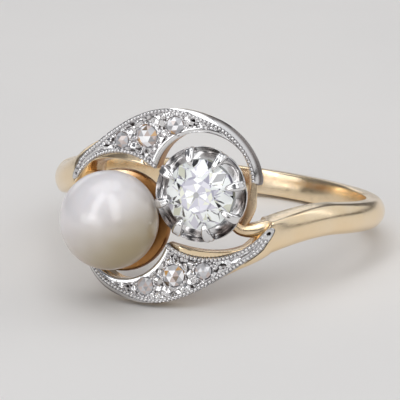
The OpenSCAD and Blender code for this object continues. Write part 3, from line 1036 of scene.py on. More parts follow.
@dataclass(frozen=True)
class SwirlPlate:
    """Platinum plate of a swirl, with rolled rails, a bright-cut crest and a sunk field."""

    plan: RingPlan = PLAN
    # outline
    rim_steps: int = 190
    tail_steps: int = 150
    across: int = 52
    edge_crowding: float = 0.6
    start: float = 18.0
    edge_part: float = 0.9
    tail_end: float = 154.6
    thin_round: float = 1.2
    tail_round: float = 0.5
    end_share: float = 0.0004
    edge_drop: float = 0.03
    spacing: float = 0.02
    # sunk field with its bright cuts
    field_h: float = -0.07
    field_inset: float = 0.1
    field_wall: float = 0.07
    field_reach: float = 8.0
    facet_d: float = 0.3
    facet_shift: float = 0.45
    facet_lean: float = 0.42
    facet_rise: float = 0.03
    crease_w: float = 0.06
    crease_h: float = 0.05
    seed: int = 5
    # crest round the stone and the line that sets it off
    crest_w: float = 0.29
    crest_share: float = 0.42
    crest_fall: float = 0.05
    line_h: float = 0.06
    line_w: float = 0.045
    line_at: float = 0.02
    line_from: float = -0.04
    # seats of the rose-cut diamonds and their collars
    seat_h: float = -0.17
    seat_slack: float = 0.035
    seat_wall: float = 0.04
    collar_out: float = 0.07
    collar_w: float = 0.09
    collar_h: float = 0.02
    collar_wave: float = 0.05
    collar_share: float = 0.8
    # engraved lines at both ends of the field
    cut_depth: float = 0.07
    line_step: float = 0.16
    lined_to: float = 66.0
    lined_from: float = 150.0
    # beads and the groove under them
    bead_inset: float = 0.12
    bead_r: float = 0.112
    bead_step: float = 0.24
    bead_lift: float = -0.035
    bead_room: float = 3.4
    bead_spacing: float = 0.05
    bead_groove: float = 0.1
    groove_slack: float = 0.03
    groove_wall: float = 0.05
    # smooth apron outside the beads of the thin end
    apron_w: float = 0.3
    apron_from: float = 98.0
    apron_run: float = 35.0
    apron_slope: float = 0.55
    apron_bend: float = 0.5
    # plain tip of the tail with its drilled dot
    plain_from: float = 168.0
    dot_r: float = 0.1
    dot_wall: float = 0.04
    dot_depth: float = 0.24
    dot_back: float = 0.45

    def outline(self) -> tuple[Array, Array]:
        """Outer and inner edge of the plate, point by point from the thin end to the tail's tip.

        Returns:
            Both edges, with as many points each.
        """
        plan = self.plan
        first = (self.start - plan.edge_start) / (plan.cusp_edge - plan.edge_start)
        v = np.linspace(first, 1, self.rim_steps, endpoint=False)
        w = np.linspace(0, 1, self.tail_steps + 1)
        on_edge = w[: int(self.edge_part * len(w))]
        edge = plan.edge(mix(plan.cusp_edge, plan.tail_edge, on_edge / on_edge[-1]))
        tip = mix(edge[-1], plan.tail_tip, np.linspace(0, 1, len(w) - len(edge) + 1)[1:, None])
        outer = np.concatenate([plan.edge(mix(plan.edge_start, plan.cusp_edge, v)), edge, tip])
        inner = np.concatenate([plan.opening(v), plan.hollow(w, 0.0, self.tail_end)])
        return self.rounded(outer, inner)

    def rounded(self, outer: Array, inner: Array) -> tuple[Array, Array]:
        """Draws both edges together at the two ends of the plate.

        Args:
            outer: Points of the outer edge.
            inner: Points of the inner edge.

        Returns:
            The same edges with round ends.
        """
        middle = (outer + inner) / 2
        along = np.concatenate([[0], np.cumsum(np.linalg.norm(np.diff(middle, axis=0), axis=1))])
        width = np.linalg.norm(outer - inner, axis=1)
        to_end = np.minimum(along / width[0] * self.thin_round, (along[-1] - along) / self.tail_round)
        share = np.sqrt(np.clip(1 - (1 - np.clip(to_end, 0.0, 1)) ** 2, self.end_share, 1))[:, None]
        return middle + (outer - middle) * share, middle + (inner - middle) * share

    def relief(self, plan_points: Array, outer: Array, opening: Array, hollow: Array, width: Array) -> Array:
        """Height of the worked surface above the barrel.

        Args:
            plan_points: Points in the plan.
            outer: The outer edge.
            opening: The edge round the enclosed stone.
            hollow: The tail's concave edge.
            width: Width of the plate at each point.

        Returns:
            The height at each point.
        """
        d_outer, d_opening, d_hollow = (distance_to(plan_points, line) for line in (outer, opening, hollow))
        bearing = np.degrees(np.arctan2(plan_points[..., 1], plan_points[..., 0]))
        beads_at = self.bead_inset + self.apron(bearing)
        from_beads = np.minimum(np.abs(d_outer - beads_at), np.abs(d_hollow - self.bead_inset))
        crest_w = np.minimum(self.crest_w, self.crest_share * width)
        past_beads = np.minimum(d_outer - beads_at, d_hollow - self.bead_inset) - self.field_inset
        inside = np.minimum(past_beads, d_opening - crest_w)
        sunk = smooth_step(inside / self.field_wall)
        height = self.facets(plan_points) * sunk
        height -= self.bead_groove * smooth_step((self.bead_r + self.groove_slack - from_beads) / self.groove_wall)
        outside = np.clip(beads_at - self.bead_r - d_outer, 0, None)
        height = np.where(outside > 0, -self.apron_slope * outside - self.apron_bend * outside**2, height)
        height -= self.crest_fall * (1 - np.clip(d_opening / crest_w, 0, 1)) ** 3 * (outside <= 0)
        from_line = np.abs(d_opening - crest_w - self.line_at)
        height -= self.line_h * smooth_step(1 - from_line / self.line_w) * (inside > self.line_from)
        height = self.engraved(self.seated(height, plan_points, sunk), bearing, d_outer, sunk)
        dot = smooth_step((self.dot_r - np.linalg.norm(plan_points - self.dot(), axis=-1)) / self.dot_wall)
        return height * (1 - smooth_step(bearing - self.plain_from)) - self.dot_depth * dot

    def dot(self) -> Array:
        """Place of the small drilled dot near the tail's tip.

        Returns:
            Its place in the plan.
        """
        outer, inner = self.outline()
        middle = (outer + inner) / 2
        to_tip = np.linalg.norm(middle - middle[-1], axis=1)
        return middle[np.flatnonzero(to_tip < self.dot_back)[0]]

    def apron(self, bearing: Array) -> Array:
        """Width of the smooth slope outside the beads, which is there only along the thin end."""
        return self.apron_w * smooth_step((self.apron_from - bearing) / self.apron_run)

    def facets(self, plan_points: Array) -> Array:
        """Bright cuts of the field: small planes that lean all ways, with creases between them.

        Args:
            plan_points: Points in the plan.

        Returns:
            Height at each point.
        """
        draw = np.random.default_rng(self.seed)
        count = np.arange(int(2 * self.field_reach / self.facet_d))
        grid = np.stack(np.meshgrid(count, count), -1).reshape(-1, 2) * self.facet_d - self.field_reach
        seeds = grid + draw.uniform(-self.facet_shift, self.facet_shift, grid.shape) * self.facet_d
        lean = draw.normal(0, self.facet_lean, grid.shape)
        rise = draw.uniform(-self.facet_rise, self.facet_rise, len(grid))
        parts = []
        for part in np.array_split(plan_points.reshape(-1, 2), BATCHES):
            reach = np.linalg.norm(part[:, None] - seeds[None], axis=2)
            two = np.argpartition(reach, 1, axis=1)[:, :2]
            pair = np.take_along_axis(reach, two, 1)
            first = np.where(pair[:, 0] <= pair[:, 1], two[:, 0], two[:, 1])
            crease = smooth_step(1 - np.abs(pair[:, 0] - pair[:, 1]) / self.crease_w)
            plane = np.sum(lean[first] * (part - seeds[first]), 1) + rise[first]
            parts.append(self.field_h + plane - self.crease_h * crease)
        return np.concatenate(parts).reshape(plan_points.shape[:-1])

    def seated(self, height: Array, plan_points: Array, sunk: Array) -> Array:
        """Sinks a seat for each rose-cut diamond, with a wavy collar round it.

        Args:
            height: The surface so far.
            plan_points: Points in the plan.
            sunk: One in the field, nothing on the rails and the crest.

        Returns:
            The new height at each point.
        """
        for seat in ROSE_SEATS:
            radius = seat.radius(self.plan)
            offset = plan_points - seat.at(self.plan)
            reach = np.hypot(offset[..., 0], offset[..., 1])
            turn = np.arctan2(offset[..., 1], offset[..., 0])
            wavy = 0.5 + 0.5 * np.sin(turn * 3 + seat.bearing) * np.sin(turn * 5 - seat.bearing)
            near = smooth_step(1 - np.abs(reach - radius - self.collar_out) / self.collar_w)
            height = mix(height, self.collar_h + self.collar_wave * wavy, near * self.collar_share * sunk)
            height = mix(height, self.seat_h, smooth_step((radius + self.seat_slack - reach) / self.seat_wall))
        return height

    def engraved(self, height: Array, bearing: Array, d_outer: Array, sunk: Array) -> Array:
        """Cuts fine lines along both ends of the field.

        Args:
            height: The surface so far.
            bearing: Bearing of each point.
            d_outer: Distance from the outer edge.
            sunk: One in the field, nothing on the rails and the crest.

        Returns:
            The new height at each point.
        """
        ends = np.maximum(smooth_step((bearing - self.lined_from) / 4), smooth_step((self.lined_to - bearing) / 6))
        ends = ends * smooth_step((self.plain_from - bearing) / 1.5)
        lines = np.abs(np.mod(d_outer / self.line_step, 1) - 0.5) * 2
        return mix(height, self.cut_depth * (lines - 1), ends * sunk)

    def slab(self, name: str, grow: float, top: float | None) -> Solid:
        """The plate as a closed solid, plain or worked.

        Args:
            name: Name of the object.
            grow: Margin added all round and below.
            top: Height of a plain top, or None for the worked one.

        Returns:
            The solid.
        """
        outer, inner = self.outline()
        beyond = (outer - inner) / np.maximum(np.linalg.norm(outer - inner, axis=1, keepdims=True), 0.05)
        outer, inner = outer + grow * beyond, inner - grow * beyond
        even = np.linspace(0, 1, self.across if top is None else 3)
        v = (1 - np.cos(even * np.pi)) / 2 * self.edge_crowding + even * (1 - self.edge_crowding)
        grid = outer[:, None] + (inner - outer)[:, None] * v[None, :, None]
        if top is None:
            width = np.linalg.norm(outer - inner, axis=1)[:, None]
            cusp = self.rim_steps
            edges = [sample_line(line, self.spacing) for line in (outer, inner[: cusp + 1], inner[cusp:])]
            lift = self.relief(grid, *edges, width)
            lift[:, -1] -= self.edge_drop
            lift[[0, -1]] -= self.edge_drop
        else:
            lift = np.full(grid.shape[:2], top)
        upper = self.plan.on_barrel(grid, lift)
        lower = self.plan.on_barrel(grid, -self.plan.plate_t - grow)
        lower[..., :2] = grid
        if top is not None:
            upper[..., :2] = grid
        return Solid.tube(name, np.concatenate([upper, lower[:, ::-1]], axis=1))

    def bead_lines(self) -> list[Array]:
        """Lines that the rolled beads follow: the outer edge and the tail's concave edge.

        Returns:
            The points of both lines in space.
        """
        outer, inner = self.outline()
        width = np.linalg.norm(outer - inner, axis=1)
        bearing = np.degrees(np.arctan2(outer[:, 1], outer[:, 0]))
        wide = np.flatnonzero((width > self.bead_inset * self.bead_room) & (bearing < self.plain_from))
        inset = self.bead_inset + self.apron(bearing)
        along_outer = (outer + inset[:, None] * self.square_to(outer))[wide[0] : wide[-1]]
        along_hollow = (inner - self.bead_inset * self.square_to(inner))[self.rim_steps + 2 : wide[-1]]
        samples = [sample_line(line, self.bead_spacing) for line in (along_outer, along_hollow)]
        return [self.plan.on_barrel(line, self.bead_lift) for line in samples]

    @staticmethod
    def square_to(line: Array) -> Array:
        """Directions to the left of a line, square to it.

        Args:
            line: Points of the line.

        Returns:
            One direction for each point.
        """
        t = np.gradient(line, axis=0)
        n = np.stack([-t[:, 1], t[:, 0]], -1)
        return n / np.maximum(np.linalg.norm(n, axis=1, keepdims=True), 1e-9)


class Sheet:
    """A tree of nodes that is written node by node."""

    def __init__(self, tree: bpy.types.NodeTree) -> None:
        """Starts on an empty tree."""
        self.tree = tree
        tree.nodes.clear()

    def add(self, kind: str, settings: dict | None = None, sockets: dict | None = None) -> bpy.types.Node:
        """Adds a node.

        Args:
            kind: The node's type.
            settings: Its properties by name, which are set first. A list of stops goes to its colour ramp.
            sockets: Values or links for its inputs, by name or number.

        Returns:
            The node.
        """
        node = self.tree.nodes.new(kind)
        for name, value in (settings or {}).items():
            if name == "stops":
                self.set_stops(node.color_ramp, value)
            else:
                setattr(node, name, value)
        for key, value in (sockets or {}).items():
            socket = node.inputs[key]
            source = value.socket if isinstance(value, Signal) else value
            if isinstance(source, bpy.types.NodeSocket):
                self.tree.links.new(source, socket)
            else:
                socket.default_value = source
        return node

    @staticmethod
    def set_stops(ramp: bpy.types.ColorRamp, stops: Sequence[tuple[float, Sequence[float]]]) -> None:
        """Fills a colour ramp.

        Args:
            ramp: The ramp.
            stops: Place and colour of each stop, in order.
        """
        while len(ramp.elements) < len(stops):
            ramp.elements.new(1.0)
        for element, (place, colour) in zip(ramp.elements, stops):
            element.position = place
            element.color = (*colour, 1.0)


class Signal:
    """A number that runs through a sheet's nodes, on which arithmetic works."""

    def __init__(self, sheet: Sheet, socket: bpy.types.NodeSocket) -> None:
        """Wraps an output socket."""
        self.sheet = sheet
        self.socket = socket

    def math(self, operation: str, *values: "Signal | float") -> "Signal":
        """Adds a Math node whose first input is this signal, and takes its result."""
        node = self.sheet.add("ShaderNodeMath", {"operation": operation}, dict(enumerate((self, *values))))
        return Signal(self.sheet, node.outputs[0])

    def flipped(self, operation: str, value: float) -> "Signal":
        """Adds a Math node with a number first and this signal second."""
        node = self.sheet.add("ShaderNodeMath", {"operation": operation}, {0: value, 1: self})
        return Signal(self.sheet, node.outputs[0])

    def __add__(self, other: "Signal | float") -> "Signal":
        """This plus the other."""
        return self.math("ADD", other)

    def __radd__(self, other: float) -> "Signal":
        """The other plus this."""
        return self.math("ADD", other)

    def __sub__(self, other: "Signal | float") -> "Signal":
        """This less the other."""
        return self.math("SUBTRACT", other)

    def __rsub__(self, other: float) -> "Signal":
        """The other less this."""
        return self.flipped("SUBTRACT", other)

    def __mul__(self, other: "Signal | float") -> "Signal":
        """This times the other."""
        return self.math("MULTIPLY", other)

    def __rmul__(self, other: float) -> "Signal":
        """The other times this."""
        return self.math("MULTIPLY", other)

    def __truediv__(self, other: "Signal | float") -> "Signal":
        """This over the other."""
        return self.math("DIVIDE", other)

    def __rtruediv__(self, other: float) -> "Signal":
        """The other over this."""
        return self.flipped("DIVIDE", other)

    def between(self, low: float, high: float) -> "Signal":
        """Nothing up to low, one from high, and eased in the middle.

        Args:
            low: Where it starts to rise.
            high: Where it reaches one.

        Returns:
            The eased number.
        """
        ends = {"Value": self, "From Min": low, "From Max": high}
        node = self.sheet.add("ShaderNodeMapRange", {"interpolation_type": "SMOOTHSTEP"}, ends)
        return Signal(self.sheet, node.outputs["Result"])


class GrowthTree(Sheet):
    """A geometry tree that grows copies of a shape on points."""

    def __init__(self, name: str, values: dict[str, object]) -> None:
        """Starts the tree.

        Args:
            name: Its name.
            values: Value of each named input after the geometry, which also settles the input's type.
        """
        tree = bpy.data.node_groups.new(name, "GeometryNodeTree")
        for way in ("INPUT", "OUTPUT"):
            tree.interface.new_socket("Geometry", in_out=way, socket_type="NodeSocketGeometry")
        for label, value in values.items():
            kind = next(socket for python_type, socket in SOCKET_TYPES if isinstance(value, python_type))
            tree.interface.new_socket(label, in_out="INPUT", socket_type=kind)
        super().__init__(tree)
        self.values = values
        self.start = self.add("NodeGroupInput").outputs
        self.end = self.add("NodeGroupOutput").inputs

    def signal(self, name: str) -> Signal:
        """One of the tree's inputs as a number."""
        return Signal(self, self.start[name])

    def random_size(self) -> bpy.types.NodeSocket:
        """Sizes from one down by the share of wobble, drawn with the seed."""
        sockets = {"Min": 1 - self.signal("Wobble"), "Max": 1.0, "Seed": self.start["Seed"]}
        return self.add("FunctionNodeRandomValue", {"data_type": "FLOAT"}, sockets).outputs["Value"]

    def scatter(self, sockets: dict[str, object]) -> None:
        """Sets the copies, makes them real, gives them their finish and ends the tree.

        Args:
            sockets: Points, instance, rotation and scale of the copies.
        """
        copies = self.add("GeometryNodeInstanceOnPoints", None, sockets)
        real = self.add("GeometryNodeRealizeInstances", None, {"Geometry": copies.outputs[0]})
        dressed = {"Geometry": real.outputs[0], "Material": self.start["Finish"]}
        self.tree.links.new(self.add("GeometryNodeSetMaterial", None, dressed).outputs[0], self.end[0])

    def run(self, name: str, mesh: bpy.types.Mesh) -> Solid:
        """Runs the tree on a mesh.

        Args:
            name: Name of the result.
            mesh: What the tree starts from.

        Returns:
            The result as a plain solid.
        """
        solid = Solid(name, mesh)
        step = solid.obj.modifiers.new("grow", "NODES")
        step.node_group = self.tree
        for item in self.tree.interface.items_tree:
            if item.name in self.values:
                step[item.identifier] = self.values[item.name]
        return solid.settle()


@dataclass(frozen=True)
class BeadRows:
    """Rolled beads along lines, grown by a geometry tree.

    Attributes:
        radius: Radius of a bead.
        step: Distance from bead to bead.
        wobble: Share by which the beads' sizes differ.
        seed: Seed of those differences.
    """

    radius: float
    step: float
    wobble: float = 0.08
    seed: int = 3

    def grow(self, lines: Sequence[Array], finish: bpy.types.Material) -> Solid:
        """Sets beads at even steps along each line.

        Args:
            lines: Points of each line.
            finish: The beads' finish.

        Returns:
            All beads.
        """
        values = {"Radius": self.radius, "Step": self.step, "Wobble": self.wobble, "Seed": self.seed, "Finish": finish}
        tree = GrowthTree("bead_row", values)
        curve = tree.add("GeometryNodeMeshToCurve", None, {"Mesh": tree.start["Geometry"]})
        spacing = {"Curve": curve.outputs[0], "Length": tree.start["Step"]}
        spaced = tree.add("GeometryNodeResampleCurve", {"mode": "LENGTH"}, spacing)
        bead = tree.add("GeometryNodeMeshIcoSphere", None, {"Radius": tree.start["Radius"], "Subdivisions": 2})
        tree.scatter({"Points": spaced.outputs[0], "Instance": bead.outputs["Mesh"], "Scale": tree.random_size()})
        ends = np.cumsum([len(line) for line in lines])
        edges = [(k, k + 1) for k in range(ends[-1] - 1) if k + 1 not in ends]
        return tree.run("beads", mesh_of("bead_lines", np.concatenate(lines), edges))


@dataclass(frozen=True)
class Grains:
    """Raised round grains of several sizes, grown by a geometry tree.

    Attributes:
        points: Where their middles lie.
        radii: Their radii.
    """

    points: Array
    radii: Array

    def grow(self, finish: bpy.types.Material) -> Solid:
        """Makes the grains, each as large as its own point says.

        Args:
            finish: Their finish.

        Returns:
            All grains.
        """
        tree = GrowthTree("grains", {"Finish": finish})
        size = tree.add("GeometryNodeInputNamedAttribute", {"data_type": "FLOAT"}, {"Name": "size"})
        grain = tree.add("GeometryNodeMeshIcoSphere", None, {"Radius": 1.0, "Subdivisions": 3})
        copies = {"Instance": grain.outputs["Mesh"], "Scale": size.outputs["Attribute"]}
        tree.scatter({"Points": tree.start["Geometry"], **copies})
        mesh = mesh_of("grain_points", self.points)
        mark(mesh, "size", self.radii)
        return tree.run("grains", mesh)


@dataclass(frozen=True)
class ClawRing:
    """Claws round a stone, grown by a geometry tree from one claw.

    Attributes:
        count: Number of claws.
        turn: Bearing of the first one in degrees.
        middle: Axis of the ring of claws, with the height from which a claw is measured.
        wobble: Share by which the claws' sizes differ.
        seed: Seed of those differences.
    """

    count: int
    turn: float
    middle: Array
    wobble: float = 0.1
    seed: int = 11

    def grow(self, claw: Solid, finish: bpy.types.Material) -> Solid:
        """Sets copies of a claw round their stone, and uses it up.

        Args:
            claw: One claw, on the line of bearing nothing.
            finish: The claws' finish.

        Returns:
            All claws.
        """
        values = {
            "Claw": claw.obj,
            "Count": self.count,
            "Turn": math.radians(self.turn),
            "Wobble": self.wobble,
            "Seed": self.seed,
            "Finish": finish,
        }
        tree = GrowthTree("claw_ring", values)
        amount = {"Geometry": tree.start["Geometry"], "Amount": tree.start["Count"]}
        copies = tree.add("GeometryNodeDuplicateElements", {"domain": "POINT"}, amount)
        index = Signal(tree, copies.outputs["Duplicate Index"])
        bearing = index / tree.signal("Count") * math.tau + tree.signal("Turn")
        shape = tree.add("GeometryNodeObjectInfo", {"transform_space": "ORIGINAL"}, {"Object": tree.start["Claw"]})
        scale = tree.add("ShaderNodeCombineXYZ", None, {"X": 1.0, "Y": tree.random_size(), "Z": 1.0})
        tree.scatter(
            {
                "Points": copies.outputs["Geometry"],
                "Instance": shape.outputs["Geometry"],
                "Rotation": tree.add("ShaderNodeCombineXYZ", None, {"Z": bearing}).outputs[0],
                "Scale": scale.outputs[0],
            }
        )
        claws = tree.run("claws", mesh_of("claw_middle", [self.middle]))
        claw.discard()
        return claws


@dataclass(frozen=True)
class Collet:
    """Platinum collet of the diamond: a tapered body, a scooped collar and leaning claws."""

    plan: RingPlan = PLAN
    claws: int = 8
    claw_turn: float = 20.0
    steps: int = 320
    # scoops of the collar
    scoop_power: float = 0.7
    scoop_depth: float = 0.4
    scoop_steps: int = 12
    scallop: float = 0.02
    scallop_from: float = 0.55
    scallop_run: float = 0.3
    # edge of the collar, seat and foot
    crest_drop: float = 0.06
    crest_inset: float = 0.03
    crest_dip: float = 0.14
    lip: float = 0.02
    wall: float = 0.08
    seat_dip: float = 0.2
    seat_drop: float = 0.12
    seat_share: float = 0.8
    foot_r: float = 1.17
    foot_edges: tuple[tuple[float, float], ...] = ((0.02, 0.05), (0.06, 0.0))
    # painted shade in the scoops, partly standing for oxide
    scoop_dark: float = 0.75
    dark_edge: float = 0.1
    dark_from: float = 0.2
    dark_run: float = 0.4
    # claws
    claw_squareness: float = 0.8
    claw_crease: float = 0.3
    crease_at: float = 0.15
    crease_w: float = 0.16
    pavilion_slope: float = 0.94
    body: tuple[tuple[float, float], ...] = ((0.0, 0.58), (0.3, 0.67), (0.6, 0.79), (0.8, 0.92), (0.9, 1.0))
    claw_rows: tuple[tuple[float, float, float, float], ...] = (
        # reach, height over the girdle, half width, half thickness
        (2.4, -0.8, 0.26, 0.2),
        (2.58, -0.42, 0.29, 0.21),
        (2.69, -0.08, 0.31, 0.2),
        (2.66, 0.2, 0.31, 0.2),
        (2.47, 0.39, 0.3, 0.18),
        (2.22, 0.48, 0.26, 0.16),
        (1.98, 0.52, 0.19, 0.13),
        (1.82, 0.51, 0.1, 0.08),
        (1.75, 0.49, 0.03, 0.02),
    )

    @property
    def height(self) -> float:
        """Height of the collet from its foot to the girdle."""
        return self.plan.girdle_z - self.plan.collet_z

    def outside(self, steps: int) -> Array:
        """Heights and radii of the body's outside from the foot up, as shares of the whole."""
        return smooth_curve(np.array(self.body), np.linspace(0, len(self.body) - 1, steps))

    def ring_body(self) -> Solid:
        """The tapered body with its scooped collar, as a closed ring of sections.

        Returns:
            The solid.
        """
        plan = self.plan
        bearing = np.arange(self.steps) * 360 / self.steps
        level = 0 * bearing
        scoop = np.sin(np.pi * np.mod((bearing - self.claw_turn) * self.claws / 360, 1)) ** self.scoop_power
        rows: list[tuple[Array, Array]] = []
        for z, r in self.outside(15):
            bump = 1 + self.scallop * (scoop - 1) * smooth_step((z - self.scallop_from) / self.scallop_run)
            rows.append((r * plan.collar_r * bump, plan.collet_z + z * self.height + level))
        crest_z = plan.girdle_z - self.crest_drop - self.crest_dip * scoop
        crest_r = plan.collar_r - self.crest_inset + self.scallop * plan.collar_r * (scoop - 1)
        rows[-1] = (rows[-1][0], np.minimum(rows[-1][1], crest_z - self.wall))
        rows += [(crest_r + self.lip, crest_z - self.lip), (crest_r, crest_z)]
        inner_r = plan.diamond_r + plan.gap
        inner_z = plan.girdle_z - self.wall - self.seat_dip * scoop
        for share in np.linspace(0.06, 1, self.scoop_steps):
            bowl = np.sin(np.pi * share**0.75) * scoop
            rows.append((mix(crest_r, inner_r, share), mix(crest_z, inner_z, share) - self.scoop_depth * bowl))
        seat_r = plan.diamond_r * self.seat_share
        seat_z = plan.girdle_z - self.seat_drop - self.pavilion_slope * (plan.diamond_r - seat_r)
        rows.append((seat_r + level, np.minimum(seat_z, inner_z - self.wall)))
        rows += [(self.foot_r + out + level, plan.collet_z + up + level) for out, up in self.foot_edges]
        reach, height = (np.stack([row[k] for row in rows], 1) for k in (0, 1))
        flat = polar(bearing, 1.0)[:, None] * reach[..., None] + plan.diamond_at
        return Solid.hoop("collar", np.concatenate([flat, height[..., None]], -1))

    def squared(self, wave: Array) -> Array:
        """Makes a sine or cosine squarer, for a section between round and square."""
        return np.sign(wave) * np.abs(wave) ** self.claw_squareness

    def claw(self) -> Solid:
        """One claw on the line of bearing nothing, measured from the girdle on the stone's axis.

        Returns:
            The solid.
        """
        rows = smooth_curve(self.claw_rows, np.linspace(0, len(self.claw_rows) - 1, 30))
        path = rows[:, :2]
        along = np.gradient(path, axis=0)
        along /= np.linalg.norm(along, axis=1, keepdims=True)
        out = np.stack([along[:, 1], -along[:, 0]], -1)
        angle = np.linspace(0, 2 * np.pi, 28, endpoint=False)
        side, back = self.squared(np.cos(angle)), self.squared(np.sin(angle))
        crease = self.claw_crease * np.exp(-(((side - self.crease_at) / self.crease_w) ** 2)) * (back > 0)
        rise = (back - crease)[None] * rows[:, 3:4]
        x, z = (path[:, k : k + 1] + out[:, k : k + 1] * rise for k in (0, 1))
        return Solid.tube("claw", np.stack([x, side[None] * rows[:, 2:3], z], -1))

    def space(self) -> Solid:
        """What the collet takes up in the gold, with a gap all round.

        Returns:
            The solid.
        """
        plan, outside = self.plan, self.outside(17)
        side = np.stack([outside[:, 1] * plan.collar_r + plan.gap, plan.collet_z + outside[:, 0] * self.height], -1)
        side[0, 1] -= plan.gap
        foot, top = [[0, side[0, 1]]], side[-1] + np.array([0, 1.0])
        return Solid.turned("collet_space", np.concatenate([foot, side, [top], [[0, top[1]]]]), plan.diamond_at, 160)

    def build(self, finish: bpy.types.Material) -> Solid:
        """The collet with all its claws as one solid.

        Args:
            finish: Its finish.

        Returns:
            The solid.
        """
        plan = self.plan
        middle = np.array([*plan.diamond_at, plan.girdle_z])
        claws = ClawRing(self.claws, self.claw_turn, middle).grow(self.claw(), finish)
        stone = OldCut(plan).hull(plan.gap)
        whole = self.ring_body().carve(Carve.ADD, claws).carve(Carve.CUT, stone)
        self.mark_oxide_and_shade(whole.obj.data)
        return whole

    def mark_oxide_and_shade(self, mesh: bpy.types.Mesh) -> None:
        """Marks how deep each point of the collar lies in a scoop, as painted shade there that partly stands for oxide.

        Args:
            mesh: The collet's mesh.
        """
        points = points_of(mesh) - np.array([*self.plan.diamond_at, self.plan.girdle_z])
        reach = np.hypot(points[:, 0], points[:, 1])
        past_stone = smooth_step((reach - self.plan.diamond_r) / self.dark_edge)
        in_collar = past_stone * smooth_step((self.plan.collar_r - 0.05 - reach) / self.dark_edge)
        turn = np.arctan2(points[:, 1], points[:, 0])
        # painted shade, stronger on some sides of the collar than on others
        uneven = self.scoop_dark * (1 + 0.7 * np.sin(turn * 2 + 0.6) * np.cos(turn * 3))
        mark(mesh, "recess", smooth_step((-points[:, 2] - self.dark_from) / self.dark_run) * in_collar * uneven)


@dataclass(frozen=True)
class Sparkle:
    """Painted reflections: what shows through each part of a cut stone.

    Attributes:
        colours: Colours that may show.
        shares: How often each one shows.
        inner: How often each one shows within the table.
        seed: Seed of the draw.
    """

    colours: tuple[Colour, ...]
    shares: tuple[float, ...]
    inner: tuple[float, ...]
    seed: int

    def draw(self, paths: Array, near: Array) -> Array:
        """Draws one colour for each path that light takes through the stone.

        Args:
            paths: Number of the path at each point.
            near: Whether each point lies within the table.

        Returns:
            The colour at each point.
        """
        found, which = np.unique(paths, return_inverse=True)
        lots = np.random.default_rng(self.seed).random(len(found))[which.ravel()]
        outside = np.searchsorted(np.cumsum(self.shares)[:-1], lots)
        inside = np.searchsorted(np.cumsum(self.inner)[:-1], lots)
        return np.array(self.colours)[np.where(near, inside, outside)]


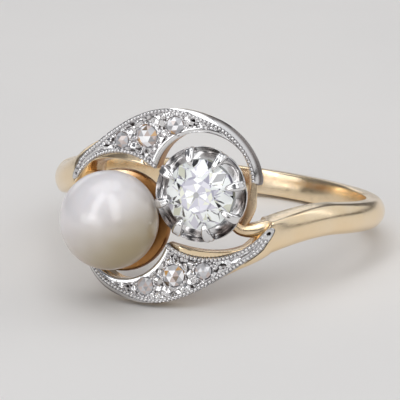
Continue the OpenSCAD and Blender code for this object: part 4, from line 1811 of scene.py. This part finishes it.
@dataclass(frozen=True)
class CutStone:
    """A faceted stone, spanned by rings of corners.

    Attributes:
        rings: Radius, height, turn in degrees and number of corners of each ring.
        base: Height under which its faces are hidden in the setting.
        sparkle: What shows through it.
        inner_r: Radius of its table.
        index: How strongly it bends light.
        parts: How finely a face's edge is divided for its inner reflections.
        bounces: How often light is followed from facet to facet inside it.
        read_share: Where the colour of a small face's corner is read, from its middle to the corner.
        least_up: How far upwards a face must lean for light to be followed through it.
    """

    rings: tuple[tuple[float, float, float, int], ...]
    base: float
    sparkle: Sparkle
    inner_r: float
    index: float = STONE_INDEX
    parts: int = 26
    bounces: int = 3
    read_share: float = 0.9
    least_up: float = 0.05

    def corners(self, grow: float = 0.0) -> Array:
        """The corners, moved outwards by a margin.

        Args:
            grow: The margin.

        Returns:
            The corners, one a row.
        """
        rows = []
        for radius, height, turn, count in self.rings:
            flat = polar(turn + np.arange(count) * 360 / count, radius + grow)
            lift = height + (grow if height > 0 else -grow if height < 0 else 0)
            rows.append(np.concatenate([flat, np.full((count, 1), lift)], 1))
        return np.concatenate(rows)

    def faces(self, grow: float = 0.0) -> list[Array]:
        """The flat faces of the stone, each as its corners in order.

        Args:
            grow: Margin by which the stone is larger.

        Returns:
            The corners of each face.
        """
        shape = bmesh.new()
        for point in self.corners(grow):
            shape.verts.new(point)
        bmesh.ops.convex_hull(shape, input=shape.verts)
        loose = [v for v in shape.verts if not v.link_faces]
        bmesh.ops.delete(shape, geom=loose, context="VERTS")
        bmesh.ops.dissolve_limit(shape, angle_limit=math.radians(0.5), verts=shape.verts, edges=shape.edges)
        bmesh.ops.recalc_face_normals(shape, faces=shape.faces)
        found = [np.array([v.co for v in f.verts]) for f in shape.faces]
        shape.free()
        return found

    def planes(self) -> tuple[Array, Array]:
        """Outward directions and distances of all faces.

        Returns:
            A direction and a distance for each face.
        """
        normals, reaches = [], []
        for face in self.faces():
            normal = np.cross(face[1] - face[0], face[2] - face[0])
            normal /= np.linalg.norm(normal)
            normals.append(normal)
            reaches.append(normal @ face.mean(0))
        return np.array(normals), np.array(reaches)

    def seen_through(self, points: Array, normals: Array) -> Array:
        """Follows light from above into the stone and out again.

        Args:
            points: Places on the stone's surface.
            normals: Directions of the faces there.

        Returns:
            The colour that shows at each place.
        """
        plane_n, plane_d = self.planes()
        cos_in = -(normals @ DOWN)[:, None]
        bend = 1 / self.index
        ray = bend * DOWN + (bend * cos_in - np.sqrt(1 - bend**2 * (1 - cos_in**2))) * normals
        place = points - normals * INSIDE
        path = np.argmax(normals @ plane_n.T, axis=1)
        for _ in range(self.bounces):
            toward = ray @ plane_n.T
            reach = np.where(toward > TINY, (plane_d - place @ plane_n.T) / np.maximum(toward, TINY), np.inf)
            hit = np.argmin(np.where(reach > TINY, reach, np.inf), axis=1)
            n = plane_n[hit]
            place = place + ray * np.take_along_axis(reach, hit[:, None], 1)
            ray = ray - 2 * np.sum(ray * n, 1, keepdims=True) * n
            path = path * PATH_BASE + hit
        return self.sparkle.draw(path, np.hypot(points[:, 0], points[:, 1]) < self.inner_r)

    def hull_solid(self, name: str, grow: float = 0.0) -> Solid:
        """The plain faceted stone.

        Args:
            name: Name of the object.
            grow: Margin all round.

        Returns:
            The solid.
        """
        corners, faces = [], []
        for face in self.faces(grow):
            faces.append(list(range(len(corners), len(corners) + len(face))))
            corners += list(face)
        return Solid.of_faces(name, corners, faces).welded()

    def lit_solid(self, name: str) -> Solid:
        """The stone with its inner reflections kept as colours on its faces.

        Args:
            name: Name of the object.

        Returns:
            The solid, with the colours in the attribute seen.
        """
        points, faces = [], []
        for face in self.faces():
            middle = face.mean(0)
            for start, stop in zip(face, np.roll(face, -1, axis=0)):
                self.divide(middle, start, stop, points, faces)
        solid = Solid.of_faces(name, points, faces).welded()
        self.paint(solid.obj.data)
        return solid

    def divide(self, a: Array, b: Array, c: Array, points: list[Array], faces: list[list[int]]) -> None:
        """Divides a triangle evenly into small ones, or one below the base along its upper edge alone.

        Args:
            a: First corner.
            b: Second corner.
            c: Third corner.
            points: Takes the new points.
            faces: Takes the new faces.
        """
        low, near, far = min(a[2], b[2], c[2]), self.base - TINY, self.base + TINY
        parts = self.parts if low >= near and max(a[2], b[2], c[2]) > far else 1
        first, index = len(points), {}
        if parts == 1 and min(b[2], c[2]) >= near:
            points.append(a)
            points.extend(mix(b, c, k / self.parts) for k in range(self.parts + 1))
            faces.extend([first, first + k + 1, first + k + 2] for k in range(self.parts))
            return
        for i in range(parts + 1):
            for j in range(parts + 1 - i):
                index[i, j] = first + len(index)
                points.append(a + (b - a) * (i / parts) + (c - a) * (j / parts))
        for i in range(parts):
            for j in range(parts - i):
                faces.append([index[i, j], index[i + 1, j], index[i, j + 1]])
                if i + j < parts - 1:
                    faces.append([index[i + 1, j], index[i + 1, j + 1], index[i, j + 1]])

    def paint(self, mesh: bpy.types.Mesh) -> None:
        """Writes the colours that show through each face, at the corners of the divided stone.

        Args:
            mesh: The divided stone.
        """
        count = len(mesh.loops)
        corner = np.zeros(count, int)
        mesh.loops.foreach_get("vertex_index", corner)
        normals = np.zeros(len(mesh.polygons) * 3)
        mesh.polygons.foreach_get("normal", normals)
        sides = np.zeros(len(mesh.polygons), int)
        mesh.polygons.foreach_get("loop_total", sides)
        owner = np.repeat(np.arange(len(mesh.polygons)), sides)
        places = points_of(mesh)[corner]
        middles = np.zeros((len(mesh.polygons), 3))
        np.add.at(middles, owner, places)
        middles /= sides[:, None]
        places = mix(middles[owner], places, self.read_share)
        face_normals = normals.reshape(-1, 3)[owner]
        upper = face_normals[:, 2] > self.least_up
        colours = np.full((count, 4), 1.0)
        facet = np.argmax(face_normals @ self.planes()[0].T, axis=1)
        colours[:, :3] = self.sparkle.draw(facet, np.zeros(count, bool))
        colours[upper, :3] = self.seen_through(places[upper], face_normals[upper])
        mesh.color_attributes.new("seen", "FLOAT_COLOR", "CORNER").data.foreach_set("color", colours.ravel())


@dataclass(frozen=True)
class OldCut:
    """The round old-cut diamond.

    Attributes:
        plan: Sizes of the ring.
        table_r: Radius of its table.
        crown_h: Height of its table over the girdle's middle.
        girdle_t: Thickness of its girdle.
        culet_r: Radius of its open culet.
        pavilion_h: Depth of its culet under the girdle's middle.
        star_share: How far its stars reach from the table to the girdle.
        lower_share: How far its lower facets reach from the culet to the girdle.
        inner_r: Radius within which the table's colours show.
    """

    plan: RingPlan = PLAN
    table_r: float = 1.05
    crown_h: float = 0.72
    girdle_t: float = 0.12
    culet_r: float = 0.2
    pavilion_h: float = 1.85
    star_share: float = 0.45
    lower_share: float = 0.42
    inner_r: float = 1.1
    sparkle: Sparkle = Sparkle(
        colours=(
            (0.9, 0.93, 0.92),  # white
            (0.6, 0.59, 0.67),  # pale lilac
            (0.42, 0.41, 0.5),  # lilac grey
            (0.66, 0.67, 0.55),  # straw
            (0.22, 0.22, 0.23),  # grey
            (0.03, 0.03, 0.035),  # near black
        ),
        shares=(0.58, 0.11, 0.07, 0.08, 0.06, 0.1),
        inner=(0.16, 0.26, 0.45, 0.09, 0.04, 0.0),
        seed=4,
    )

    def stone(self) -> CutStone:
        """The stone about the middle of its girdle, with its rings of corners from the culet to the table.

        Returns:
            The stone.
        """
        r, half, edge = self.plan.diamond_r, 22.5, self.girdle_t / 2
        crown_slope = (self.crown_h - edge) / (r - self.table_r)
        pavilion_slope = (self.pavilion_h - edge) / (r - self.culet_r)
        star_r, lower_r = mix(self.table_r, r, self.star_share), mix(self.culet_r, r, self.lower_share)
        flat = math.cos(math.radians(half))
        star_z = self.crown_h - crown_slope * (star_r * flat - self.table_r)
        lower_z = pavilion_slope * (lower_r * flat - self.culet_r) - self.pavilion_h
        rings = (
            (self.culet_r, -self.pavilion_h, 0, 8),
            (lower_r, lower_z, half, 8),
            (r, -edge, 0, 16),
            (r, edge, 0, 16),
            (star_r, star_z, half, 8),
            (self.table_r, self.crown_h, 0, 8),
        )
        return CutStone(rings, edge, self.sparkle, self.inner_r)

    def place(self, solid: Solid) -> Solid:
        """Moves the stone to its setting."""
        solid.obj.data.transform(Matrix.Translation((*self.plan.diamond_at, self.plan.girdle_z)))
        return solid

    def hull(self, grow: float) -> Solid:
        """What the diamond takes up, with a margin."""
        return self.place(self.stone().hull_solid("diamond_space", grow))

    def build(self) -> Solid:
        """The diamond with its inner reflections."""
        return self.place(self.stone().lit_solid("diamond"))


@dataclass(frozen=True)
class RoseCut:
    """A rose-cut diamond of a swirl.

    Attributes:
        seat: Its place and size.
        seed: Seed of its colours.
        plan: Sizes of the ring.
        rose_h: Height of the largest one over its girdle.
        sink: How deep its girdle lies in the plate.
        turn: Bearing of its first corner in degrees.
        star_share: Radius and height of its six upper facets' corners, as shares of the whole.
        tip_r: Radius of its small top.
        least_lively: Size from which it is one of the lively stones.
        lively: How often each colour shows in a lively stone.
        calm: How often each colour shows in the other stones.
        colours: Colours that show through it.
    """

    seat: RoseSeat
    seed: int
    plan: RingPlan = PLAN
    rose_h: float = 0.42
    sink: float = 0.14
    turn: float = 10.0
    star_share: tuple[float, float] = (0.62, 0.78)
    tip_r: float = 0.04
    least_lively: float = 0.9
    lively: tuple[float, ...] = (0.24, 0.26, 0.2, 0.14, 0.08, 0.08)
    calm: tuple[float, ...] = (0.08, 0.47, 0.15, 0.28, 0.01, 0.01)
    colours: tuple[Colour, ...] = (
        (0.92, 0.92, 0.94),  # white
        (0.47, 0.47, 0.49),  # silver
        (0.27, 0.27, 0.28),  # grey
        (0.52, 0.43, 0.4),  # rosy beige
        (0.16, 0.11, 0.07),  # brown
        (0.6, 0.34, 0.12),  # amber
    )

    def build(self) -> Solid:
        """The stone in the upper swirl, with its inner reflections.

        Returns:
            The solid.
        """
        r, h = self.seat.radius(self.plan), self.rose_h * self.seat.size
        shares = self.lively if self.seat.size > self.least_lively else self.calm
        rings = (
            (r, 0.0, self.turn, 12),
            (r, self.sink, self.turn, 12),
            (r * self.star_share[0], self.sink + h * self.star_share[1], self.turn, 6),
            (self.tip_r, self.sink + h, self.turn, 6),
        )
        sparkle = Sparkle(self.colours, shares, shares, self.seed + round(self.seat.bearing))
        solid = CutStone(rings, self.sink, sparkle, inner_r=0.0, parts=10, bounces=0).lit_solid("rose")
        at = self.seat.at(self.plan)
        lean = Matrix.Rotation(math.asin(at[0] / self.plan.barrel_r), 4, "Y")
        sunk = Matrix.Translation((0, 0, -self.sink))
        solid.obj.data.transform(Matrix.Translation(tuple(self.plan.on_barrel(at))) @ lean @ sunk)
        return solid


@dataclass(frozen=True)
class Pearl:
    """The cream pearl, drilled from below.

    Attributes:
        plan: Sizes of the ring.
        steps: Points round it.
        hole_r: Radius of its hole.
        unevenness: Share of its radius by which it is uneven.
    """

    plan: RingPlan = PLAN
    steps: int = 128
    hole_r: float = 0.43
    unevenness: float = 0.012

    def build(self) -> Solid:
        """The pearl as a ball that is nearly round.

        Returns:
            The solid.
        """
        plan = self.plan
        angle = np.linspace(-np.pi / 2, np.pi / 2, self.steps // 2 + 1)
        profile = plan.pearl_r * np.stack([np.cos(angle), np.sin(angle)], -1)
        profile[[0, -1], 0] = 0
        profile[:, 1] += plan.pearl_z
        ball = Solid.turned("pearl", profile, plan.pearl_at, self.steps)
        self.shape(ball.obj.data)
        low, top = plan.pearl_z - 2 * plan.pearl_r, plan.pearl_z - plan.pearl_r + plan.peg_l + plan.gap
        return ball.carve(Carve.CUT, Solid.pin("hole", self.hole_r, low, top, plan.pearl_at, 48))

    def shape(self, mesh: bpy.types.Mesh) -> None:
        """Takes a little off here and there, as a grown pearl's outline does.

        Args:
            mesh: The ball.
        """
        plan = self.plan
        middle = np.array([*plan.pearl_at, plan.pearl_z])
        points = points_of(mesh) - middle
        unit = points / plan.pearl_r
        wave = np.sin(2.1 * unit[:, 0] + 0.7) * np.sin(1.7 * unit[:, 1] - 0.4) * np.sin(1.9 * unit[:, 2] + 1.1)
        share = 1 - self.unevenness * (0.5 + 0.5 * wave)
        mesh.vertices.foreach_set("co", (points * share[:, None] + middle).astype(np.float32).ravel())


class Ground:
    """Patterns that a finish is made of, in the piece's own coordinates."""

    def __init__(self, sheet: Sheet) -> None:
        """Starts from the piece's coordinates."""
        self.sheet = sheet
        self.place = sheet.add("ShaderNodeTexCoord").outputs["Object"]

    def noise(self, scale: float, detail: float = 3.0, stretch: Sequence[float] = (1, 1, 1)) -> Signal:
        """A cloudy pattern.

        Args:
            scale: How many clouds go in a metre.
            detail: How fine its finest clouds are.
            stretch: How much finer it is along each axis.

        Returns:
            The pattern, about a half.
        """
        spread = self.sheet.add("ShaderNodeMapping", None, {"Vector": self.place, "Scale": stretch})
        settings = {"Vector": spread.outputs[0], "Scale": scale, "Detail": detail}
        return Signal(self.sheet, self.sheet.add("ShaderNodeTexNoise", None, settings).outputs["Fac"])

    def mark(self, name: str) -> Signal:
        """A number that the mesh carries at each point."""
        node = self.sheet.add("ShaderNodeAttribute", {"attribute_name": name})
        return Signal(self.sheet, node.outputs["Fac"])

    def painted(self, name: str) -> bpy.types.NodeSocket:
        """A colour that the mesh carries at each corner."""
        return self.sheet.add("ShaderNodeAttribute", {"attribute_name": name}).outputs["Color"]

    def along(self, direction: Sequence[float]) -> Signal:
        """How far a place lies along a direction, in metres."""
        node = self.sheet.add("ShaderNodeVectorMath", {"operation": "DOT_PRODUCT"}, {0: self.place, 1: direction})
        return Signal(self.sheet, node.outputs["Value"])

    def blend(self, a: Colour | bpy.types.NodeSocket, b: Colour, share: Signal) -> bpy.types.NodeSocket:
        """Mixes two colours by the share of the second one."""
        first = a if isinstance(a, bpy.types.NodeSocket) else (*a, 1.0)
        return self.sheet.add("ShaderNodeMix", {"data_type": "RGBA"}, {0: share, 6: first, 7: (*b, 1.0)}).outputs[2]

    def relief(self, height: Signal, depth: float) -> bpy.types.NodeSocket:
        """Turns a pattern into fine relief of a depth in metres, as the surface's normal."""
        return self.sheet.add("ShaderNodeBump", None, {"Strength": 1.0, "Distance": depth, "Height": height}).outputs[0]


@dataclass(frozen=True)
class Finish:
    """A finish with one shader.

    Attributes:
        name: Name of its material.
    """

    name: str

    def material(self) -> bpy.types.Material:
        """Makes the material.

        Returns:
            The material.
        """
        material = bpy.data.materials.new(self.name)
        material.use_nodes = True
        sheet = Sheet(material.node_tree)
        shader = sheet.add("ShaderNodeBsdfPrincipled", None, self.shade(sheet, Ground(sheet)))
        sheet.add("ShaderNodeOutputMaterial", None, {"Surface": shader.outputs[0]})
        return material

    def shade(self, sheet: Sheet, ground: Ground) -> dict[str, object]:
        """Works out what goes into the shader's sockets."""
        raise NotImplementedError


@dataclass(frozen=True)
class PolishedMetal(Finish):
    """Polished metal with faint clouds, hairline scratches and painted shade in its recesses, which partly stands for
    oxide.

    Attributes:
        colour: Its own colour.
        clouded: The colour of its clouds.
        recess: The colour painted into its recesses, as shade and dark reflections that partly stand for oxide.
        gloss: Roughness where it is brightest.
        haze: Roughness where it is dullest.
        scratches: Depth of its scratches in metres.
    """

    colour: Colour
    clouded: Colour
    recess: Colour
    gloss: float
    haze: float
    scratches: float = 1.5e-6

    def shade(self, sheet: Sheet, ground: Ground) -> dict[str, object]:
        """Works out what goes into the shader's sockets.

        Args:
            sheet: The material's sheet.
            ground: Patterns on that sheet.

        Returns:
            Values and links of the shader's inputs by name.
        """
        clouds = ground.noise(420.0, 4.0)
        fine = ground.noise(2600.0, 3.0)
        hairs = ground.noise(5200.0, 2.0, (1.0, 9.0, 2.0)) * 0.6 + ground.noise(7000.0, 2.0, (7.0, 1.0, 1.5)) * 0.4
        # painted shade in the recesses, partly standing for oxide: a darker base colour and a little more roughness
        dark = ground.mark("recess")
        colour = ground.blend(self.colour, self.clouded, clouds.between(0.35, 0.7))
        worn = clouds * 0.5 + fine * 0.5
        return {
            "Base Color": ground.blend(colour, self.recess, dark),
            "Metallic": 1.0,
            "Roughness": self.gloss + worn.between(0.35, 0.68) * (self.haze - self.gloss) + dark * 0.12,
            "Normal": ground.relief(hairs + fine * 0.5, self.scratches),
        }


@dataclass(frozen=True)
class Nacre(Finish):
    """Nacre with a soft lustre, with painted light: paler towards the light, and darker and warmer below as painted
    shade.

    Attributes:
        above: Colour of its upper side, towards the light, painted as lit.
        below: Colour of its lower side, painted as shaded and warmed by reflection.
        rose: Tint at its lower edge, a painted warm reflection that is partly the pearl's own overtone.
        upwards: Direction in which its colour changes from painted shade to painted light.
        middle: Place of the change along that direction, in metres.
        spread: Half the length over which it goes, in metres.
    """

    above: tuple[float, float, float] = (0.78, 0.755, 0.775)
    below: tuple[float, float, float] = (0.33, 0.25, 0.11)
    rose: tuple[float, float, float] = (0.46, 0.3, 0.16)
    upwards: tuple[float, float, float] = (-0.65, 0.0, 1.0)
    middle: float = 0.0065
    spread: float = 0.0027

    def shade(self, sheet: Sheet, ground: Ground) -> dict[str, object]:
        """Works out what goes into the shader's sockets.

        Args:
            sheet: The material's sheet.
            ground: Patterns on that sheet.

        Returns:
            Values and links of the shader's inputs by name.
        """
        cloud = ground.noise(260.0, 2.0)
        skin = ground.noise(1500.0, 3.0)
        # painted light and shade: lighter towards the light, darker and warmer away from it
        up = ((ground.along(self.upwards) - self.middle) / self.spread + cloud * 0.8 - 0.4).between(-1.0, 1.0)
        body = ground.blend(self.below, self.above, up)
        # painted warm reflection at the rim of the shaded side, partly the pearl's own overtone
        edge = Signal(sheet, sheet.add("ShaderNodeLayerWeight", None, {"Blend": 0.35}).outputs["Facing"])
        return {
            "Base Color": ground.blend(body, self.rose, edge.between(0.3, 1.0) * (1 - up) * 0.8),
            "Roughness": 0.3 + skin * 0.08,
            "IOR": 1.6,
            "Subsurface Weight": 0.12,
            "Subsurface Radius": (1.0, 0.7, 0.5),
            "Subsurface Scale": 0.0006,
            "Coat Weight": 0.75 + skin * 0.15,
            "Coat Roughness": 0.16,
            "Coat IOR": 1.7,
            "Sheen Weight": 0.15,
            "Sheen Tint": (1.0, 0.86, 0.84, 1.0),
            "Normal": ground.relief(skin + cloud, 3e-6),
        }


@dataclass(frozen=True)
class Brilliance(Finish):
    """A cut stone, with its inner reflections painted as colours, gloss on top and painted light shining from them.

    Attributes:
        tint: Colour over its brightest parts.
        painted_glow: How strongly its painted reflections shine by themselves, the brightest most.
    """

    tint: tuple[float, float, float] = (1.0, 1.0, 1.0)
    painted_glow: float = 0.12

    def shade(self, sheet: Sheet, ground: Ground) -> dict[str, object]:
        """Works out what goes into the shader's sockets.

        Args:
            sheet: The material's sheet.
            ground: Patterns on that sheet.

        Returns:
            Values and links of the shader's inputs by name.
        """
        seen = ground.painted("seen")
        smears = ground.noise(900.0, 2.0)
        return {
            "Base Color": ground.blend(seen, self.tint, smears.between(0.45, 0.8) * 0.12),
            "Roughness": 0.03 + smears * 0.04,
            "IOR": STONE_INDEX,
            "Specular IOR Level": 0.42,
            # painted light: the painted reflections also shine by themselves, though no lamp
            "Emission Color": seen,
            "Emission Strength": self.painted_glow,
        }


@dataclass(frozen=True)
class PaleFloor(Finish):
    """A pale matt floor."""

    colour: tuple[float, float, float] = (0.8, 0.78, 0.76)
    clouded: tuple[float, float, float] = (0.76, 0.745, 0.73)

    def shade(self, sheet: Sheet, ground: Ground) -> dict[str, object]:
        """Works out what goes into the shader's sockets.

        Args:
            sheet: The material's sheet.
            ground: Patterns on that sheet.

        Returns:
            Values and links of the shader's inputs by name.
        """
        clouds = ground.noise(18.0, 4.0)
        return {
            "Base Color": ground.blend(self.colour, self.clouded, clouds.between(0.35, 0.65)),
            "Roughness": 0.75 + clouds * 0.1,
        }


@dataclass(frozen=True)
class Swirls:
    """Both platinum swirls with their beads and grains.

    Attributes:
        plate: The plate that they are made of.
        plan: Sizes of the ring.
        grain_r: Radius of a grain beside the largest rose-cut diamond.
        grain_drop: How deep the middle of a grain lies.
        grains_round: Grains round each rose-cut diamond.
        over_cup: Height over the pearl's cup up to which the plate is cut round.
        dark_from: Depth at which painted shade, partly standing for oxide, starts in a hollow.
        dark_run: Further depth at which that painted shade is strongest.
        tail_grains: Bearing, share of half the stones' distance and radius of each grain towards the ends.
    """

    plate: SwirlPlate = SwirlPlate()
    plan: RingPlan = PLAN
    grain_r: float = 0.11
    grain_drop: float = 0.05
    grains_round: int = 6
    over_cup: float = 0.5
    dark_from: float = 0.09
    dark_run: float = 0.1
    tail_grains: tuple[tuple[float, float, float], ...] = (
        (141.5, 1.71, 0.1),
        (146.5, 1.76, 0.085),
        (151.0, 1.82, 0.07),
        (76.5, 1.79, 0.09),
        (71.0, 1.81, 0.08),
        (65.5, 1.83, 0.065),
    )

    def build(self, finish: bpy.types.Material, round_cup: bool) -> Solid:
        """A swirl in the place of the upper one.

        Args:
            finish: Its finish.
            round_cup: Whether it leaves a round space for the pearl cup.

        Returns:
            The solid.
        """
        plan = self.plan
        beads = BeadRows(self.plate.bead_r, self.plate.bead_step).grow(self.plate.bead_lines(), finish)
        swirl = self.plate.slab("swirl", 0.0, None).carve(Carve.ADD, beads, self.grains(finish))
        if round_cup:
            low, top = plan.barrel_z, plan.cup_z + plan.cup_h + self.over_cup
            swirl.carve(Carve.CUT, Solid.pin("cup_space", plan.cup_r + plan.gap, low, top, -plan.cup_at, 180))
        self.mark_oxide_and_shade(swirl.obj.data)
        return swirl

    def grains(self, finish: bpy.types.Material) -> Solid:
        """Grains round each rose-cut diamond, and smaller ones towards both ends.

        Args:
            finish: Their finish.

        Returns:
            All grains.
        """
        plan, places, radii = self.plan, [], []
        for seat in ROSE_SEATS:
            start = bearing_of(seat.at(plan)) + 30
            turns = start + np.arange(self.grains_round) * 360 / self.grains_round
            places.append(seat.at(plan) + polar(turns, seat.radius(plan) + self.plate.collar_out))
            radii.append(np.full(self.grains_round, self.grain_r * (0.75 + 0.25 * seat.size)))
        places.append(np.array([polar(turn, share * plan.half_pitch) for turn, share, _ in self.tail_grains]))
        radii.append(np.array([radius for *_, radius in self.tail_grains]))
        return Grains(plan.on_barrel(np.concatenate(places), -self.grain_drop), np.concatenate(radii)).grow(finish)

    def mark_oxide_and_shade(self, mesh: bpy.types.Mesh) -> None:
        """Marks how deep each point lies below the swirl's rails, as painted shade there that partly stands for oxide.

        Args:
            mesh: The swirl's mesh.
        """
        lift = self.plan.over_barrel(points_of(mesh))
        # painted shade, a little weaker on the deepest points
        most = np.where(lift < -0.35, 0.7, 0.9)
        mark(mesh, "recess", np.clip((-lift - self.dark_from) / self.dark_run, 0, 1) * most)


@dataclass(frozen=True)
class Lamp:
    """A soft light.

    Attributes:
        name: Its name.
        toward: Its direction from the ring, along the picture's right, up and back.
        reach: Its distance in metres.
        size: Its width and height in metres.
        power: Its power in watts.
    """

    name: str
    toward: tuple[float, float, float]
    reach: float
    size: tuple[float, float]
    power: float

    def hang(self, axes: Matrix) -> None:
        """Hangs the light.

        Args:
            axes: The picture's right, up and back, as columns.
        """
        data = bpy.data.lights.new(self.name, "AREA")
        data.shape = "RECTANGLE"
        data.size, data.size_y = self.size
        data.energy = self.power
        lamp = add_object(self.name, data)
        direction = (axes @ Vector(self.toward)).normalized()
        lamp.location = direction * self.reach
        lamp.rotation_euler = direction.to_track_quat("Z", "Y").to_euler()


@dataclass(frozen=True)
class Studio:
    """Floor, soft lights, sky and camera.

    Attributes:
        right: Direction to the right in the picture.
        up: Direction up in the picture.
        back: Direction from the ring to the camera.
        target: What the camera looks at, in millimetres.
        distance: How far off the camera is, in millimetres.
        view_angle: Angle over the picture's width in degrees.
        floor_r: Radius of the floor in metres.
        floor_sides: Corners of the floor.
        sky_strength: How strongly the sky shines.
        sky: Colours of the sky from below to above, each with its place.
        lamps: The lights.
    """

    right: tuple[float, float, float] = (0.93823, 0.34562, -0.01664)
    up: tuple[float, float, float] = (-0.09873, 0.3135, 0.94444)
    back: tuple[float, float, float] = (0.33163, -0.88446, 0.32826)
    target: tuple[float, float, float] = (-0.1607, -0.7099, 3.8497)
    distance: float = 246.872
    view_angle: float = 5.71287
    floor_r: float = 1.5
    floor_sides: int = 96
    sky_strength: float = 0.8
    sky: tuple[tuple[float, Colour], ...] = (
        (0.0, (0.03, 0.025, 0.02)),
        (0.5, (0.13, 0.12, 0.11)),
        (0.6, (0.16, 0.16, 0.17)),
        (1.0, (0.3, 0.31, 0.33)),
    )
    lamps: tuple[Lamp, ...] = (
        Lamp("left_window", (-0.46, 0.52, 0.74), 0.45, (0.13, 0.54), 0.52),
        Lamp("right_window", (0.2, 0.52, 0.83), 0.45, (0.16, 0.56), 0.54),
        Lamp("low_window", (-0.66, 0.0, 0.75), 0.45, (0.42, 0.16), 0.35),
        Lamp("right_side", (0.74, 0.48, 0.47), 0.5, (0.6, 0.6), 0.7),
        Lamp("ceiling", (-0.1, 0.95, 0.1), 0.5, (0.5, 0.3), 0.52),
        Lamp("back_window", (-0.3, 0.5, -0.75), 0.6, (0.5, 0.2), 0.26),
        Lamp("right_back", (0.73, 0.6, -0.25), 0.55, (0.5, 0.45), 0.4),
    )

    def axes(self) -> Matrix:
        """The picture's right, up and back, as columns."""
        return Matrix((self.right, self.up, self.back)).transposed()

    def set_camera(self) -> None:
        """Sets the camera at the picture's angle."""
        data = bpy.data.cameras.new("camera")
        data.angle = math.radians(self.view_angle)
        data.clip_start = 0.01
        camera = add_object("camera", data)
        place = (Vector(self.target) + Vector(self.back) * self.distance) * MM
        camera.matrix_world = Matrix.Translation(place) @ self.axes().to_4x4()
        bpy.context.scene.camera = camera

    def fill_sky(self) -> None:
        """Fills the surroundings with a soft grey that is brighter above."""
        world = bpy.data.worlds.new("studio")
        world.use_nodes = True
        sheet = Sheet(world.node_tree)
        place = sheet.add("ShaderNodeTexCoord").outputs["Generated"]
        height = Signal(sheet, sheet.add("ShaderNodeSeparateXYZ", None, {0: place}).outputs[2])
        ramp = sheet.add("ShaderNodeValToRGB", {"stops": self.sky}, {"Fac": height * 0.5 + 0.5})
        shade = sheet.add("ShaderNodeBackground", None, {"Color": ramp.outputs[0], "Strength": self.sky_strength})
        sheet.add("ShaderNodeOutputWorld", None, {"Surface": shade.outputs[0]})
        bpy.context.scene.world = world

    def lay_floor(self) -> None:
        """Lays the pale floor on which the ring lies."""
        count = self.floor_sides
        edge = polar(np.arange(count) * 360 / count, self.floor_r)
        mesh = mesh_of("floor", np.concatenate([edge, np.zeros((count, 1))], 1), faces=[range(count)])
        mesh.materials.append(PaleFloor("pale_floor").material())
        add_object("floor", mesh)

    def build(self) -> None:
        """Sets up the whole studio."""
        self.set_camera()
        self.fill_sky()
        self.lay_floor()
        for lamp in self.lamps:
            lamp.hang(self.axes())
        bpy.context.scene.view_settings.view_transform = "Standard"


@dataclass(frozen=True)
class ToiEtMoiRing:
    """The whole ring.

    Attributes:
        stand: Where and how it lies.
        plan: Its sizes.
        gold: Finish of the shank.
        platinum: Finish of both swirls and the collet.
        nacre: Finish of the pearl.
        fire: Finish of the old-cut diamond.
        rose_fire: Finish of the rose-cut diamonds.
        seat_top: Height to which the gold is cut away over the plates.
    """

    stand: Stand
    plan: RingPlan = PLAN
    # the third colour of each metal is the painted shade of its recesses, partly standing for oxide
    gold: Finish = PolishedMetal("yellow_gold", (0.94, 0.75, 0.5), (0.95, 0.79, 0.57), (0.38, 0.18, 0.06), 0.14, 0.27)
    platinum: Finish = PolishedMetal(
        "platinum", (0.83, 0.825, 0.83), (0.76, 0.75, 0.755), (0.15, 0.125, 0.115), 0.08, 0.2
    )
    nacre: Finish = Nacre("nacre")
    fire: Finish = Brilliance("diamond_fire")
    rose_fire: Finish = Brilliance("rose_fire", (1.0, 0.95, 0.9), 0.15)
    seat_top: float = 2.5

    def build(self) -> None:
        """Builds and dresses every piece, and sets each in place of its imported node."""
        platinum = self.platinum.material()
        collet, plate = Collet(self.plan), SwirlPlate(self.plan)
        seats = [plate.slab(f"seat_{k}", self.plan.gap, self.seat_top) for k in (0, 1)]
        seats[1].obj.data.transform(HALF_TURN)
        shank = Shank(self.plan).build(collet.space(), seats)
        shank.finished("shank", Slot.GOLD, self.gold.material(), self.stand)
        for node, turned in (("upper_swirl", False), ("lower_swirl", True)):
            swirl = Swirls(plate, self.plan).build(platinum, round_cup=turned)
            swirl.finished(node, Slot.PLATINUM, platinum, self.stand, turned)
        collet.build(platinum).finished("diamond_collet", Slot.PLATINUM, platinum, self.stand)
        Pearl(self.plan).build().finished("pearl", Slot.PEARL, self.nacre.material(), self.stand, smooth=60.0)
        OldCut(self.plan).build().finished("diamond", Slot.DIAMOND, self.fire.material(), self.stand, smooth=0.0)
        rose_fire = self.rose_fire.material()
        for side, turned in (("upper", False), ("lower", True)):
            for number, seat in enumerate(ROSE_SEATS, 1):
                rose = RoseCut(seat, number * (2 + turned), self.plan).build()
                rose.finished(f"{side}_rose_{number}", Slot.ROSE, rose_fire, self.stand, turned, smooth=0.0)


def main() -> None:
    """Builds the ring in its studio."""
    logging.basicConfig(level=logging.INFO, format="%(name)s: %(message)s")
    Studio().build()
    ToiEtMoiRing(Stand.from_record(frame["record"])).build()


if __name__ == "__main__":
    main()
